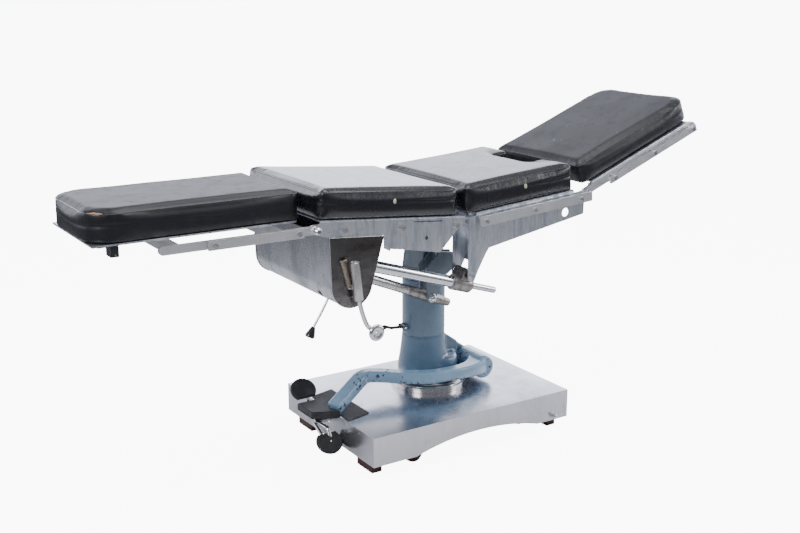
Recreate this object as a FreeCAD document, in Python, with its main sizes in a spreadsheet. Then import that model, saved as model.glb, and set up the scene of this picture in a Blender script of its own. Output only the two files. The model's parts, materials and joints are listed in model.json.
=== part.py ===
import FreeCAD, Part
import math
import os
import Sketcher

os.makedirs("parts", exist_ok=True)
doc = FreeCAD.newDocument("OperatingTable")
V = FreeCAD.Vector

# Driving dimensions, in millimetres and degrees.
sizes = {
    # the table in side view
    "base_centre": 100, "column_setback": 16, "pivot_height": 690,
    "back_angle": 4.9, "seat_angle": 4.4, "leg_angle": 21,
    # fits and gaps
    "running_gap": 0.05, "face_gap": 0.3, "side_gap": 0.5,
    # the frame across
    "frame_half": 247.5, "plate_wall": 5, "rail_standoff": 10, "rail_wall": 10,
    "pad_overhang": 2.5, "deck_inset": 1.5, "pad_round": 16, "pad_edge": 12,
    # hinges
    "eye_radius": 14, "hinge_pin": 8, "lug_wall": 6, "hinge_ball": 12,
    # fasteners
    "bolt_head": 8.5, "bolt_head_height": 6, "bolt_shank": 4.5, "hex_key": 4, "spacer_radius": 10,
    # back section
    "back_reach": 540, "back_butt": 16, "deck_level": 96, "deck_wall": 4, "pad_height": 90,
    "pad_butt": 46, "seat_hinge_back": 10, "seat_hinge_rise": 81.4,
    "head_hinge_out": 16.3, "head_hinge_rise": 73.8,
    "back_bolt_level": 73, "boss_radius": 34, "tilt_pin_radius": 15, "cheek_inner": 62, "cheek_wall": 12,
    # gear trough
    "trough_setback": 119, "trough_level": 50, "trough_drop": 97, "trough_radius": 70, "trough_wall": 3,
    "end_plate_wall": 5, "crank_setback": 8, "crank_shaft": 8,
    # seat section
    "seat_length": 496.4, "leg_hinge_rise": 4.9, "seat_pad_length": 442, "seat_pad_level": 22,
    "notch_depth": 72, "notch_half": 98, "seat_rail_start": 38, "seat_rail_end": 500,
    "seat_rail_height": 31, "seat_rail_level": -6.5, "jack_leg_inner": 160,
    "jack_leg_drop": 176.8, "jack_leg_shift": 3.4,
    # leg section
    "leg_reach": 537, "leg_pad_start": 7, "leg_pad_overhang": 25, "leg_pad_inset": 18,
    "leg_pad_level": 18, "leg_pad_height": 78, "leg_bar_height": 26, "leg_bar_wall": 19.5,
    "leg_rail_start": 92, "leg_rail_inset": 21, "leg_rail_height": 24, "leg_pad_corner": 75,
    # head section
    "head_reach": 458, "head_bar_height": 25, "head_bar_wall": 10, "head_pad_end": 636,
    "head_pad_start": 9, "head_pad_half": 187.5, "head_pad_level": 18, "head_pad_height": 91,
    "head_rail_start": 44, "head_rail_end": 334, "head_rail_height": 28, "head_pad_corner": 85,
    "head_deck_half": 180,
    # jacks
    "flex_screw_radius": 11, "flex_tube_radius": 19, "flex_axis_drop": 38, "flex_side": 205,
    "tilt_screw_radius": 9, "tilt_tube_radius": 16, "tilt_side": 100,
    "flex_tube_start": 150, "tilt_tube_start": 98,
    # column
    "column_radius": 72.5, "column_top": 540, "flare_radius": 88, "flare_level": 200,
    "flare_height": 35, "flare_end": 340, "ram_radius": 50, "ram_bottom": 200, "foot_radius": 62,
    "boot_reach": 78, "boot_radius": 62, "boot_height": 124, "collar_radius": 76,
    "collar_height": 26, "head_width": 50, "head_half": 58, "head_boss": 32,
    "ear_wall": 8,
    # base
    "cover_length": 784, "cover_width": 576, "cover_bottom": 40, "eave_level": 138,
    "plateau_level": 158, "plateau_inset_end": 150, "plateau_inset_side": 66, "cover_wall": 3,
    "arch_left": 246.5, "arch_rise": 35, "chassis_level": 94, "chassis_height": 40,
    "chassis_end_gap": 19, "chassis_rail_inset": 88, "chassis_rail_width": 46,
    "ring_shift": 5, "ring_radius": 129, "ring_band": 17, "ring_top": 200, "ring_top_radius": 92,
    "mat_length": 76, "mat_half": 125, "mat_wall": 3, "mat_start": 83,
    "foot_setback": 18, "foot_length": 37, "foot_width": 94, "foot_height": 30, "foot_post": 10,
    "castor_setback": 131, "castor_outset": 5, "castor_trail": 40, "wheel_radius": 32, "wheel_width": 22,
    "wheel_lift": 0.5, "castor_stem": 8, "castor_fork_wall": 4,
    # pump lever
    "pump_x": 170, "pump_level": 206, "pump_hub": 40, "pump_pin": 12, "pump_arm_width": 48,
    "pump_arm_height": 38, "treadle_level": 163, "treadle_wall": 23,
    # lock rocker
    "rocker_level": 105, "rocker_shaft": 9, "rocker_x": 441, "rocker_pad": 42, "rocker_pad_wall": 14,
    # crank
    "crank_standoff": 28, "crank_shaft_depth": 32.5, "crank_sleeve": 10, "crank_knob": 26.5,
}

sheet = doc.addObject("Spreadsheet::Sheet", "Sizes")
for row, (name, number) in enumerate(sizes.items(), start=1):
    sheet.set("A%d" % row, name)
    sheet.set("B%d" % row, str(number))
    sheet.setAlias("B%d" % row, name)
doc.recompute()


class Size:
    """A length or an angle: its number now, and the formula that binds it to the sheet."""

    def __init__(self, number, text):
        self.number = float(number)
        self.text = text

    def __add__(self, other):
        return mix(self, "+", other)

    def __radd__(self, other):
        return mix(other, "+", self)

    def __sub__(self, other):
        return mix(self, "-", other)

    def __rsub__(self, other):
        return mix(other, "-", self)

    def __mul__(self, other):
        return mix(self, "*", other)

    def __rmul__(self, other):
        return mix(other, "*", self)

    def __truediv__(self, other):
        return mix(self, "/", other)

    def __rtruediv__(self, other):
        return mix(other, "/", self)

    def __neg__(self):
        return mix(-1, "*", self)


def size(value):
    if isinstance(value, Size):
        return value
    return Size(value, "(%r)" % value if value < 0 else repr(value))


def mix(left, sign, right):
    left = size(left)
    right = size(right)
    number = {
        "+": left.number + right.number,
        "-": left.number - right.number,
        "*": left.number * right.number,
        "/": left.number / right.number if sign == "/" else 0,
    }[sign]
    return Size(number, "(%s %s %s)" % (left.text, sign, right.text))


def cosine(angle):
    return Size(math.cos(math.radians(angle.number)), "cos(%s)" % angle.text)


def sine(angle):
    return Size(math.sin(math.radians(angle.number)), "sin(%s)" % angle.text)


def root(value):
    return Size(math.sqrt(value.number), "sqrt(%s)" % value.text)


def bearing(rise, run):
    """The angle of a slope, in degrees."""
    rise = size(rise)
    run = size(run)
    angle = math.degrees(math.atan2(rise.number, run.number))
    return Size(angle, "atan2(%s; %s)" % (rise.text, run.text))


def lean(opposite, slant):
    """The angle whose sine is opposite / slant, in degrees."""
    share = opposite / slant
    return Size(math.degrees(math.asin(share.number)), "asin(%s)" % share.text)


class S:
    """The sheet's cells by name."""


for name, number in sizes.items():
    setattr(S, name, Size(number, "Sizes." + name))


class Frame:
    """A section's own axes in side view: an origin, and a turn about +Y that lowers the +X end."""

    def __init__(self, x, z, turn=None):
        self.x = size(x)
        self.z = size(z)
        self.turn = turn

    def world(self, x, z):
        if self.turn is None:
            return self.x + x, self.z + z
        across = cosine(self.turn)
        down = sine(self.turn)
        return self.x + x * across + z * down, self.z - x * down + z * across


nodes = []


def bind(obj, prop, value):
    """Give a property its number, and the formula where it has one."""
    value = size(value)
    if "Sizes." in value.text:
        obj.setExpression(prop, value.text)


def put(obj, x=0, y=0, z=0, axis=None, turn=0):
    x, y, z, turn = size(x), size(y), size(z), size(turn)
    spin = FreeCAD.Rotation(axis, turn.number) if axis else FreeCAD.Rotation()
    obj.Placement = FreeCAD.Placement(V(x.number, y.number, z.number), spin)
    bind(obj, "Placement.Base.x", x)
    bind(obj, "Placement.Base.y", y)
    bind(obj, "Placement.Base.z", z)
    if axis and turn.number:
        bind(obj, "Placement.Rotation.Angle", turn)


def node(obj, label, frame):
    """Name a finished sub-part and stand it in its section's frame."""
    obj.Label = label
    if frame is not None:
        if frame.turn is None:
            put(obj, frame.x, 0, frame.z)
        else:
            put(obj, frame.x, 0, frame.z, V(0, 1, 0), frame.turn)
    nodes.append(obj)
    return obj


def new_body(label, frame):
    return node(doc.addObject("PartDesign::Body", label), label, frame)


def plane(body, role):
    return [f for f in body.Origin.OriginFeatures if f.Role == role][0]


def pin_point(sketch, geometry, end, x, z):
    for kind, value in (("DistanceX", size(x)), ("DistanceY", size(z))):
        index = sketch.addConstraint(Sketcher.Constraint(kind, -1, 1, geometry, end, value.number))
        if "Sizes." in value.text:
            sketch.setExpression("Constraints[%d]" % index, value.text)


def trace(sketch, points, bends):
    """A closed outline; bends[i] = (mid x, mid z, centre x, centre z) makes the side after point i an arc."""
    flat = [V(size(x).number, size(z).number, 0) for x, z in points]
    first = sketch.GeometryCount
    ends = []
    for i, start in enumerate(flat):
        stop = flat[(i + 1) % len(flat)]
        if i in bends:
            mid_x, mid_z = bends[i][:2]
            middle = V(size(mid_x).number, size(mid_z).number, 0)
            leftward = (middle - start).cross(stop - middle).z > 0
            arc = Part.Arc(start, middle, stop) if leftward else Part.Arc(stop, middle, start)
            sketch.addGeometry(arc, False)
            ends.append((1, 2) if leftward else (2, 1))
        else:
            sketch.addGeometry(Part.LineSegment(start, stop), False)
            ends.append((1, 2))
    for i, (x, z) in enumerate(points):
        after = (i + 1) % len(points)
        sketch.addConstraint(
            Sketcher.Constraint("Coincident", first + i, ends[i][1], first + after, ends[after][0])
        )
        pin_point(sketch, first + i, ends[i][0], x, z)
    for i, (mid_x, mid_z, centre_x, centre_z) in bends.items():
        chord = flat[(i + 1) % len(flat)] - flat[i]
        sideways = abs(chord.x) < abs(chord.y)
        kind = "DistanceX" if sideways else "DistanceY"
        value = size(centre_x if sideways else centre_z)
        index = sketch.addConstraint(Sketcher.Constraint(kind, -1, 1, first + i, 3, value.number))
        if "Sizes." in value.text:
            sketch.setExpression("Constraints[%d]" % index, value.text)


def ring_line(sketch, x, z, radius):
    x, z, radius = size(x), size(z), size(radius)
    index = sketch.addGeometry(Part.Circle(V(x.number, z.number, 0), V(0, 0, 1), radius.number), False)
    pin_point(sketch, index, 3, x, z)
    held = sketch.addConstraint(Sketcher.Constraint("Radius", index, radius.number))
    if "Sizes." in radius.text:
        sketch.setExpression("Constraints[%d]" % held, radius.text)


def sketch_on(body, role, offset, points=None, bends=None, holes=(), windows=()):
    """A sketch on one of the body's own planes, moved along the plane's normal by offset."""
    sketch = body.newObject("Sketcher::SketchObject", "Outline")
    sketch.AttachmentSupport = [(plane(body, role), "")]
    sketch.MapMode = "FlatFace"
    offset = size(offset)
    sketch.AttachmentOffset = FreeCAD.Placement(V(0, 0, offset.number), FreeCAD.Rotation())
    bind(sketch, "AttachmentOffset.Base.z", offset)
    if points:
        trace(sketch, points, bends or {})
    for window in windows:
        trace(sketch, window, {})
    for x, z, radius in holes:
        ring_line(sketch, x, z, radius)
    return sketch


def pad(body, sketch, length):
    length = size(length)
    feature = body.newObject("PartDesign::Pad", "Pad")
    feature.Profile = (sketch, [""])
    feature.Length = length.number
    bind(feature, "Length", length)
    body.Tip = feature
    return feature


def pocket(body, sketch, length, reverse=False):
    """Cut along the sketch's normal, backwards unless reverse; the volume has to fall."""
    doc.recompute()
    before = body.Shape.Volume
    length = size(length)
    feature = body.newObject("PartDesign::Pocket", "Pocket")
    feature.Profile = (sketch, [""])
    feature.Length = length.number
    bind(feature, "Length", length)
    feature.Reversed = reverse
    body.Tip = feature
    doc.recompute()
    if body.Shape.Volume > before - 1:
        raise RuntimeError("%s: the pocket cuts nothing" % body.Label)
    return feature


def revolve(body, sketch, role):
    feature = body.newObject("PartDesign::Revolution", "Revolution")
    feature.Profile = (sketch, [""])
    feature.ReferenceAxis = (plane(body, role), [""])
    feature.Angle = 360
    body.Tip = feature
    return feature


def pair(body, feature):
    """Repeat a feature on the far side of the table."""
    mirror = body.newObject("PartDesign::Mirrored", "FarSide")
    mirror.Originals = [feature]
    mirror.MirrorPlane = (plane(body, "XZ_Plane"), [""])
    body.Tip = mirror
    return mirror


def round_edges(body, feature, radius, chosen):
    """Fillet the edges of a feature that chosen(edge) picks."""
    doc.recompute()
    radius = size(radius)
    names = ["Edge%d" % (i + 1) for i, e in enumerate(feature.Shape.Edges) if chosen(e)]
    if not names:
        raise RuntimeError("%s: no edge to round" % body.Label)
    fillet = body.newObject("PartDesign::Fillet", "Fillet")
    fillet.Base = (feature, names)
    fillet.Radius = radius.number
    bind(fillet, "Radius", radius)
    body.Tip = fillet
    return fillet


def upright(edge):
    box = edge.BoundBox
    return box.XLength < 0.01 and box.YLength < 0.01


def at_height(edge, level):
    box = edge.BoundBox
    return abs(box.ZMin - size(level).number) < 0.01 and box.ZLength < 0.01


def plate(label, frame, points, inner, wall, bends=None, holes=(), windows=(), both=True):
    """An upright plate from |y| = inner outwards on the near side, and its twin on the far side."""
    body = new_body(label, frame)
    add_plate(body, points, inner, wall, bends, holes, windows, both)
    return body


def add_plate(body, points, inner, wall, bends=None, holes=(), windows=(), both=True):
    shape = pad(body, sketch_on(body, "XZ_Plane", inner, points, bends, holes, windows), wall)
    if both:
        pair(body, shape)
    return shape


def bar(label, x, z, y, radius, length):
    """A plain round bar along Y from y to y + length."""
    solid = doc.addObject("Part::Cylinder", label)
    solid.Radius = size(radius).number
    solid.Height = size(length).number
    bind(solid, "Radius", radius)
    bind(solid, "Height", length)
    put(solid, x, y, z, V(1, 0, 0), -90)
    return solid


def post(label, x, y, z, radius, height):
    """A plain round bar along Z."""
    solid = doc.addObject("Part::Cylinder", label)
    solid.Radius = size(radius).number
    solid.Height = size(height).number
    bind(solid, "Radius", radius)
    bind(solid, "Height", height)
    put(solid, x, y, z)
    return solid


def stick(label, x, y, z, radius, length):
    """A plain round bar along X from x to x + length."""
    solid = doc.addObject("Part::Cylinder", label)
    solid.Radius = size(radius).number
    solid.Height = size(length).number
    bind(solid, "Radius", radius)
    bind(solid, "Height", length)
    put(solid, x, y, z, V(0, 1, 0), 90)
    return solid


def fuse(label, shapes):
    joined = doc.addObject("Part::MultiFuse", label)
    joined.Shapes = shapes
    return joined


def tapered(label, x, z, y, radius, end_radius, length):
    """A round piece along Y whose radius changes from one end to the other."""
    solid = doc.addObject("Part::Cone", label)
    for prop, value in (("Radius1", radius), ("Radius2", end_radius), ("Height", length)):
        setattr(solid, prop, size(value).number)
        bind(solid, prop, value)
    put(solid, x, y, z, V(1, 0, 0), -90)
    return solid


def ball(label, x, y, z, radius):
    """A round knob about Y: a short drum between two cones."""
    drum = radius * 0.5
    tip = radius * 0.55
    return fuse(label, [
        bar(label + "_drum", x, z, y - drum, radius, 2 * drum),
        tapered(label + "_near", x, z, y - radius, tip, radius, radius - drum),
        tapered(label + "_far", x, z, y + drum, radius, tip, radius - drum),
    ])


def block(label, x, y, z, length, width, height):
    solid = doc.addObject("Part::Box", label)
    for prop, value in (("Length", length), ("Width", width), ("Height", height)):
        setattr(solid, prop, size(value).number)
        bind(solid, prop, value)
    put(solid, x, y, z)
    return solid


def cut(label, base, tool):
    rest = doc.addObject("Part::Cut", label)
    rest.Base = base
    rest.Tool = tool
    return rest


def group(label, frame, solids):
    together = doc.addObject("Part::Compound", label)
    together.Links = solids
    return node(together, label, frame)


def bolt(x, z, face, root_at, side):
    """A socket screw along Y: its head stands on |y| = face and its shank ends at |y| = root_at."""
    head_y = face if side > 0 else -face - S.bolt_head_height
    shank_y = root_at if side > 0 else -face
    key_y = face + S.bolt_head_height / 2 if side > 0 else -face - S.bolt_head_height
    head = bar("bolt_head", x, z, head_y, S.bolt_head, S.bolt_head_height)
    shank = bar("bolt_shank", x, z, shank_y, S.bolt_shank, face - root_at)
    key = doc.addObject("Part::Prism", "bolt_key")
    key.Polygon = 6
    key.Circumradius = S.hex_key.number
    bind(key, "Circumradius", S.hex_key)
    key.Height = S.bolt_head_height.number / 2
    bind(key, "Height", S.bolt_head_height / 2)
    put(key, x, key_y, z, V(1, 0, 0), -90)
    return cut("bolt", fuse("bolt_blank", [head, shank]), key)


def collar(x, z, inner, length, side):
    """A spacer ring round a bolt, from |y| = inner outwards."""
    start = inner if side > 0 else -inner - length
    outside = bar("spacer_outside", x, z, start, S.spacer_radius, length)
    inside = bar("spacer_bore", x, z, start, S.bolt_shank + S.running_gap, length)
    return cut("spacer", outside, inside)


def hinge_pin(x, z, inner, outer, side, crown=False):
    """A headed hinge pin along Y between |y| = inner and |y| = outer, with a ball outside if crowned."""
    start = inner if side > 0 else -outer
    solids = [bar("pin_shank", x, z, start, S.hinge_pin, outer - inner)]
    head_y = inner - 4 if side > 0 else -inner
    solids.append(bar("pin_head", x, z, head_y, S.hinge_pin + 3, 4))
    if crown:
        solids.append(ball("pin_ball", x, (outer + S.hinge_ball - 1) * side, z, S.hinge_ball))
    return fuse("pin", solids)


# Section frames in side view
column = Frame(S.base_centre - S.column_setback, 0)
base = Frame(S.base_centre, 0)
back = Frame(column.x, S.pivot_height, S.back_angle)
seat_hinge = (-S.seat_hinge_back, S.seat_hinge_rise)
head_hinge = (-(S.back_reach + S.head_hinge_out), S.head_hinge_rise)
leg_hinge = (S.seat_length, S.leg_hinge_rise)
seat = Frame(*back.world(*seat_hinge), -S.seat_angle)
leg = Frame(*seat.world(*leg_hinge), -S.leg_angle)
head = Frame(*back.world(*head_hinge))
jack_eye = (S.jack_leg_shift, -S.jack_leg_drop)

outer_face = S.frame_half + S.plate_wall
rail_inner = outer_face + S.rail_standoff
rail_outer = rail_inner + S.rail_wall
lug_outer = S.frame_half - S.face_gap
lug_inner = lug_outer - S.lug_wall
pin_bore = S.hinge_pin + S.running_gap
bolt_bore = S.bolt_shank + S.running_gap
pad_half = S.frame_half + S.pad_overhang
deck_half = pad_half - S.deck_inset


# Back section: side plates cut out over the trough, with the deck and the pad on top
head_end = -S.back_reach
trough_x = head_end + S.trough_setback
trough_left = trough_x - 88
trough_right = trough_x + 100
notch = S.trough_level + S.face_gap
back_bolts = [head_end + 78, head_end + 280, -S.back_butt - 44]
back_plates = plate(
    "back_side_plates", back,
    [(head_end, S.deck_level), (-S.back_butt, S.deck_level), (-108, -13), (trough_x + 171, 3),
     (trough_x + 107, 8), (trough_x + 103, notch), (trough_x - 91, notch), (head_end, 55)],
    S.frame_half, S.plate_wall,
    holes=[(x, S.back_bolt_level, bolt_bore) for x in back_bolts] + [(-162, 36, 7)],
    windows=[[(-216, 85), (-109, 85), (-109, 89), (-216, 89)]],
)
back_deck = new_body("back_deck", back)
pad(back_deck, sketch_on(
    back_deck, "XY_Plane", S.deck_level,
    [(head_end + 2, -deck_half), (-20, -deck_half), (-20, deck_half), (head_end + 2, deck_half)],
), S.deck_wall)


def cushion(label, frame, level, height, points, corner, picked):
    """A plain pad: its outline, its corners rounded in plan and its top edge softened."""
    body = new_body(label, frame)
    shape = pad(body, sketch_on(body, "XY_Plane", level, points), height)
    shape = round_edges(body, shape, corner, lambda e: upright(e) and picked(e.BoundBox))
    round_edges(body, shape, S.pad_edge, lambda e: at_height(e, level + height))
    return body


pad_level = S.deck_level + S.deck_wall + S.face_gap
cushion(
    "back_pad", back, pad_level, S.pad_height,
    [(head_end, -pad_half), (-S.pad_butt, -pad_half), (-S.pad_butt, pad_half),
     (head_end, pad_half)],
    S.pad_round, lambda box: True,
)


def rail_fasteners(places, level, spacer_inner, bolt_face, bolt_root):
    """The spacers and the socket screws of one section's accessory rails, both sides."""
    solids = []
    for side in (-1, 1):
        for x in places:
            solids.append(collar(x, level, spacer_inner, rail_inner - spacer_inner, side))
            solids.append(bolt(x, level, bolt_face, bolt_root, side))
    return solids


group("back_rail_fasteners", back, rail_fasteners(
    back_bolts, S.back_bolt_level, outer_face, rail_inner, S.frame_half))

# Hinge lugs inside the side plates, at the seat end and at the head end
eye = S.eye_radius


def strap(x_root, x_eye, z_eye, half, low=None, high=None):
    """A bar outline with a round eye at x_eye: points and the arc's bend."""
    out = 1 if size(x_eye).number > size(x_root).number else -1
    low = z_eye - half if low is None else low
    high = z_eye + half if high is None else high
    points = [(x_root, low), (x_eye, z_eye - half), (x_eye, z_eye + half), (x_root, high)]
    return points, {1: (x_eye + half * out, z_eye, x_eye, z_eye)}


lug_low = S.seat_hinge_rise - 20
lug_high = S.seat_hinge_rise + 10
for x_root, x_weld, hinge in ((-75, -36, seat_hinge), (head_end + 55, head_end + 6, head_hinge)):
    add_plate(
        back_plates, [(x_root, lug_low), (x_weld, lug_low), (x_weld, lug_high), (x_root, lug_high)],
        lug_outer, S.face_gap)
    points, bends = strap(x_root, hinge[0], hinge[1], eye, lug_low, lug_high)
    add_plate(back_plates, points, lug_inner, S.lug_wall, bends, [(hinge[0], hinge[1], pin_bore)])

# Tilt saddle: a beam across the frame and two cheeks down to the boss on the tilt pin
saddle = new_body("tilt_saddle", back)
beam_low = 50
beam_high = S.deck_level
pad(saddle, sketch_on(saddle, "XZ_Plane", -S.frame_half, [
    (-150, beam_low), (-90, beam_low), (-90, beam_high), (-150, beam_high)]), 2 * S.frame_half)
boss = S.boss_radius
cheek_points = [
    (-190, beam_high), (-190, 70), (-160, 30), (-100, -18), (-20, -boss), (0, -boss), (0, boss),
    (-40, beam_high)]
add_plate(
    saddle, cheek_points, S.cheek_inner, S.cheek_wall,
    {5: (boss, 0, 0, 0)}, [(0, 0, S.tilt_pin_radius + S.running_gap)],
)

# Gear trough: an open U along Y under the head half of the frame
trough_z = -S.trough_drop


def touch(px, pz, cx, cz, radius, side):
    """Where the line from point p grazes the circle about c, on the outer side."""
    dx = px - cx
    dz = pz - cz
    square = dx * dx + dz * dz
    along = radius * radius / square
    aside = radius * root(square - radius * radius) / square * side
    return cx + dx * along - dz * aside, cz + dz * along + dx * aside


def u_outline(left, right, top, radius):
    """Points of a U seen from the side, from its left top round to its right top."""
    low_left = touch(left, top, trough_x, trough_z, radius, 1)
    low_right = touch(right, top, trough_x, trough_z, radius, -1)
    return [(left, top), low_left, low_right, (right, top)]


shell = S.trough_radius - 2.5
skin = shell - S.trough_wall
outside = u_outline(trough_left + 2.5, trough_right - 2.5, S.trough_level, shell)
inside = u_outline(
    trough_left + 2.5 + S.trough_wall, trough_right - 2.5 - S.trough_wall, S.trough_level, skin
)
trough = new_body("gear_trough", back)
pad(trough, sketch_on(
    trough, "XZ_Plane", -outer_face, outside + inside[::-1],
    {1: (trough_x, trough_z - shell, trough_x, trough_z), 5: (trough_x, trough_z - skin, trough_x, trough_z)},
), 2 * outer_face)

# Two jacks start inside the trough and leave it through windows in its right wall
flex_eye = seat.world(*jack_eye)
flex_pin = (trough_x - 50, -21.6)
tilt_pin_at = (trough_x + 1.5, -71.1)
flex_root = back.world(*flex_pin)
tilt_root = back.world(*tilt_pin_at)
tilt_eye = (column.x - 50, S.pivot_height - 191)


def jack_frame(start, stop, drop):
    """Axes along a screw from start, which passes below stop by drop; and the reach along it."""
    run = stop[0] - start[0]
    fall = start[1] - stop[1]
    span = root(run * run + fall * fall)
    if drop is None:
        return Frame(start[0], start[1], bearing(fall, run)), span
    turn = bearing(fall, run) + lean(size(drop), span)
    return Frame(start[0], start[1], turn), root(span * span - drop * drop)


flex, flex_reach = jack_frame(flex_root, flex_eye, S.flex_axis_drop)
tilt, tilt_reach = jack_frame(tilt_root, tilt_eye, None)


def wall_window(y_middle, half, low, high):
    points = [(y_middle - half, low), (y_middle + half, low), (y_middle + half, high),
              (y_middle - half, high)]
    opening = sketch_on(trough, "YZ_Plane", trough_x + 20, points)
    pocket(trough, opening, S.trough_radius + 60, reverse=True)


wall_window(-S.flex_side, 30, -85, -5)
wall_window(-S.tilt_side, 28, -140, -68)

ear_gap = 0.5
ear_plate = 4
trunnion_pin = 6
ear_eye = 12
bottom_z = trough_z - shell + S.trough_wall / 2
wall_run = (outside[1][0] - outside[0][0]) / (outside[1][1] - outside[0][1])


def trough_ears(points, bends, x, z, y_middle, half):
    """Two bracket plates inside the trough, one on each side of a block of half width half."""
    for start in (y_middle - half - ear_gap - ear_plate, y_middle + half + ear_gap):
        pad(trough, sketch_on(
            trough, "XZ_Plane", -start - ear_plate, points, bends,
            holes=[(x, z, trunnion_pin + S.running_gap)],
        ), ear_plate)


def standing_ears(x, z, y_middle, half):
    """Ears that stand on the bottom of the trough."""
    trough_ears(
        [(x - 14, bottom_z), (x + 14, bottom_z), (x + ear_eye, z), (x - ear_eye, z)],
        {2: (x, z + ear_eye, x, z)}, x, z, y_middle, half)


flex_block = 15
tilt_block = 13
selector_y = -160
selector_half = 12


def wall_x(z):
    """The middle of the trough's left wall at a height."""
    return outside[0][0] + (z - outside[0][1]) * wall_run + S.trough_wall / 2


trough_ears(
    [(wall_x(-40), -40), (flex_pin[0], flex_pin[1] - ear_eye), (flex_pin[0], flex_pin[1] + ear_eye),
     (wall_x(0), 0)],
    {1: (flex_pin[0] + ear_eye, flex_pin[1], *flex_pin)}, *flex_pin, -S.flex_side, flex_block)
standing_ears(*tilt_pin_at, -S.tilt_side, tilt_block)
standing_ears(trough_x, trough_z, selector_y, selector_half)

end_outline = u_outline(trough_left, trough_right, S.trough_level, S.trough_radius)
crank_at = (trough_x - S.crank_setback, trough_z)
plate(
    "gear_end_plates", back, end_outline, outer_face, S.end_plate_wall,
    {1: (trough_x, trough_z - S.trough_radius, trough_x, trough_z)},
    [(crank_at[0], crank_at[1], S.crank_shaft + S.running_gap)],
)
end_face = outer_face + S.end_plate_wall

# Seat section: side plates that reach down beside the column to carry the flex jack
seat_reach = S.seat_length
leg_pivot_x = leg_hinge[0]
leg_pivot_z = leg_hinge[1]
leg_bottom = -S.jack_leg_drop
seat_bolts = [S.seat_rail_start + 20, S.seat_rail_start + 215, S.seat_rail_end - 51]
seat_outline = [
    (6, 13), (seat_reach - 34, 13), (leg_pivot_x, leg_pivot_z + eye), (leg_pivot_x, leg_pivot_z - eye),
    (seat_reach - 16, -29), (seat_reach - 20, -66), (77, -102), (64, -118), (31, leg_bottom + 10),
    (9, leg_bottom - 28), (-10, leg_bottom - 15), (6, 9)]
seat_plates = plate(
    "seat_side_plates", seat, seat_outline, S.frame_half, S.plate_wall,
    {2: (leg_pivot_x + eye, leg_pivot_z, leg_pivot_x, leg_pivot_z)},
    [(x, S.seat_rail_level, bolt_bore) for x in seat_bolts]
    + [(jack_eye[0], jack_eye[1], pin_bore), (leg_pivot_x, leg_pivot_z, pin_bore),
       (seat_reach - 98, -46.7, 15)],
)
seat_jack_cheek = plate(
    "seat_jack_cheek", seat,
    [(24, 12), (100, 12), (77, -102), (64, -118), (31, leg_bottom + 10), (9, leg_bottom - 28),
     (-10, leg_bottom - 15), (2, -60)],
    S.jack_leg_inner, S.plate_wall,
    holes=[(jack_eye[0], jack_eye[1], pin_bore)], both=False,
)
web_y = S.frame_half - S.jack_leg_inner - S.plate_wall
pad(seat_jack_cheek, sketch_on(
    seat_jack_cheek, "XZ_Plane", S.jack_leg_inner + S.plate_wall,
    [(73, -96), (77, -102), (64, -118), (46, -150), (42, -150), (60, -117)],
), web_y)
pad(seat_jack_cheek, sketch_on(
    seat_jack_cheek, "XZ_Plane", S.jack_leg_inner + S.plate_wall,
    [(66, -20), (88, -20), (88, 8), (66, 8)],
), web_y)

seat_lug_outer = lug_inner - S.face_gap
points, bends = strap(62, 0, size(0), size(eye), -eye, eye - 2)
add_plate(seat_plates, points, seat_lug_outer - S.lug_wall, S.lug_wall, bends, [(0, 0, pin_bore)])
add_plate(
    seat_plates, [(24, -12), (62, -12), (62, 11), (24, 11)], seat_lug_outer,
    S.frame_half - seat_lug_outer,
)
seat_deck_level = 13
notch_x = S.seat_pad_length - S.notch_depth
seat_deck = new_body("seat_deck", seat)
pad(seat_deck, sketch_on(
    seat_deck, "XY_Plane", seat_deck_level,
    [(36, -deck_half), (S.seat_pad_length - 2, -deck_half), (S.seat_pad_length - 2, deck_half),
     (36, deck_half)],
    windows=[[(notch_x, -S.notch_half + 8), (S.seat_pad_length - 20, -S.notch_half + 8),
              (S.seat_pad_length - 20, S.notch_half - 8), (notch_x, S.notch_half - 8)]],
), S.seat_pad_level - S.face_gap - seat_deck_level)
pad(seat_plates, sketch_on(
    seat_plates, "XZ_Plane", -S.frame_half,
    [(100, -35), (140, -35), (140, 12.7), (100, 12.7)],
    windows=[[(103, -32), (137, -32), (137, 9.7), (103, 9.7)]],
), 2 * S.frame_half)
cushion(
    "seat_pad", seat, S.seat_pad_level, S.pad_height,
    [(0, -pad_half), (S.seat_pad_length, -pad_half), (S.seat_pad_length, -S.notch_half),
     (notch_x, -S.notch_half), (notch_x, S.notch_half), (S.seat_pad_length, S.notch_half),
     (S.seat_pad_length, pad_half), (0, pad_half)],
    S.pad_round, lambda box: True,
)


def rail(label, frame, start, end, level, height, bolts):
    """A pair of accessory rails outside a section's side plates."""
    half = height / 2
    plate(
        label, frame,
        [(start, level - half), (end, level - half), (end, level + half), (start, level + half)],
        rail_inner, S.rail_wall, holes=[(x, level, bolt_bore) for x in bolts],
    )


rail("seat_rails", seat, S.seat_rail_start, S.seat_rail_end, S.seat_rail_level, S.seat_rail_height, seat_bolts)
group("seat_rail_fasteners", seat, rail_fasteners(
    seat_bolts, S.seat_rail_level, outer_face, rail_outer, S.frame_half))
group("jack_studs", seat, [
    bolt(jack_eye[0], jack_eye[1], outer_face, S.frame_half, -1),
])

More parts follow.
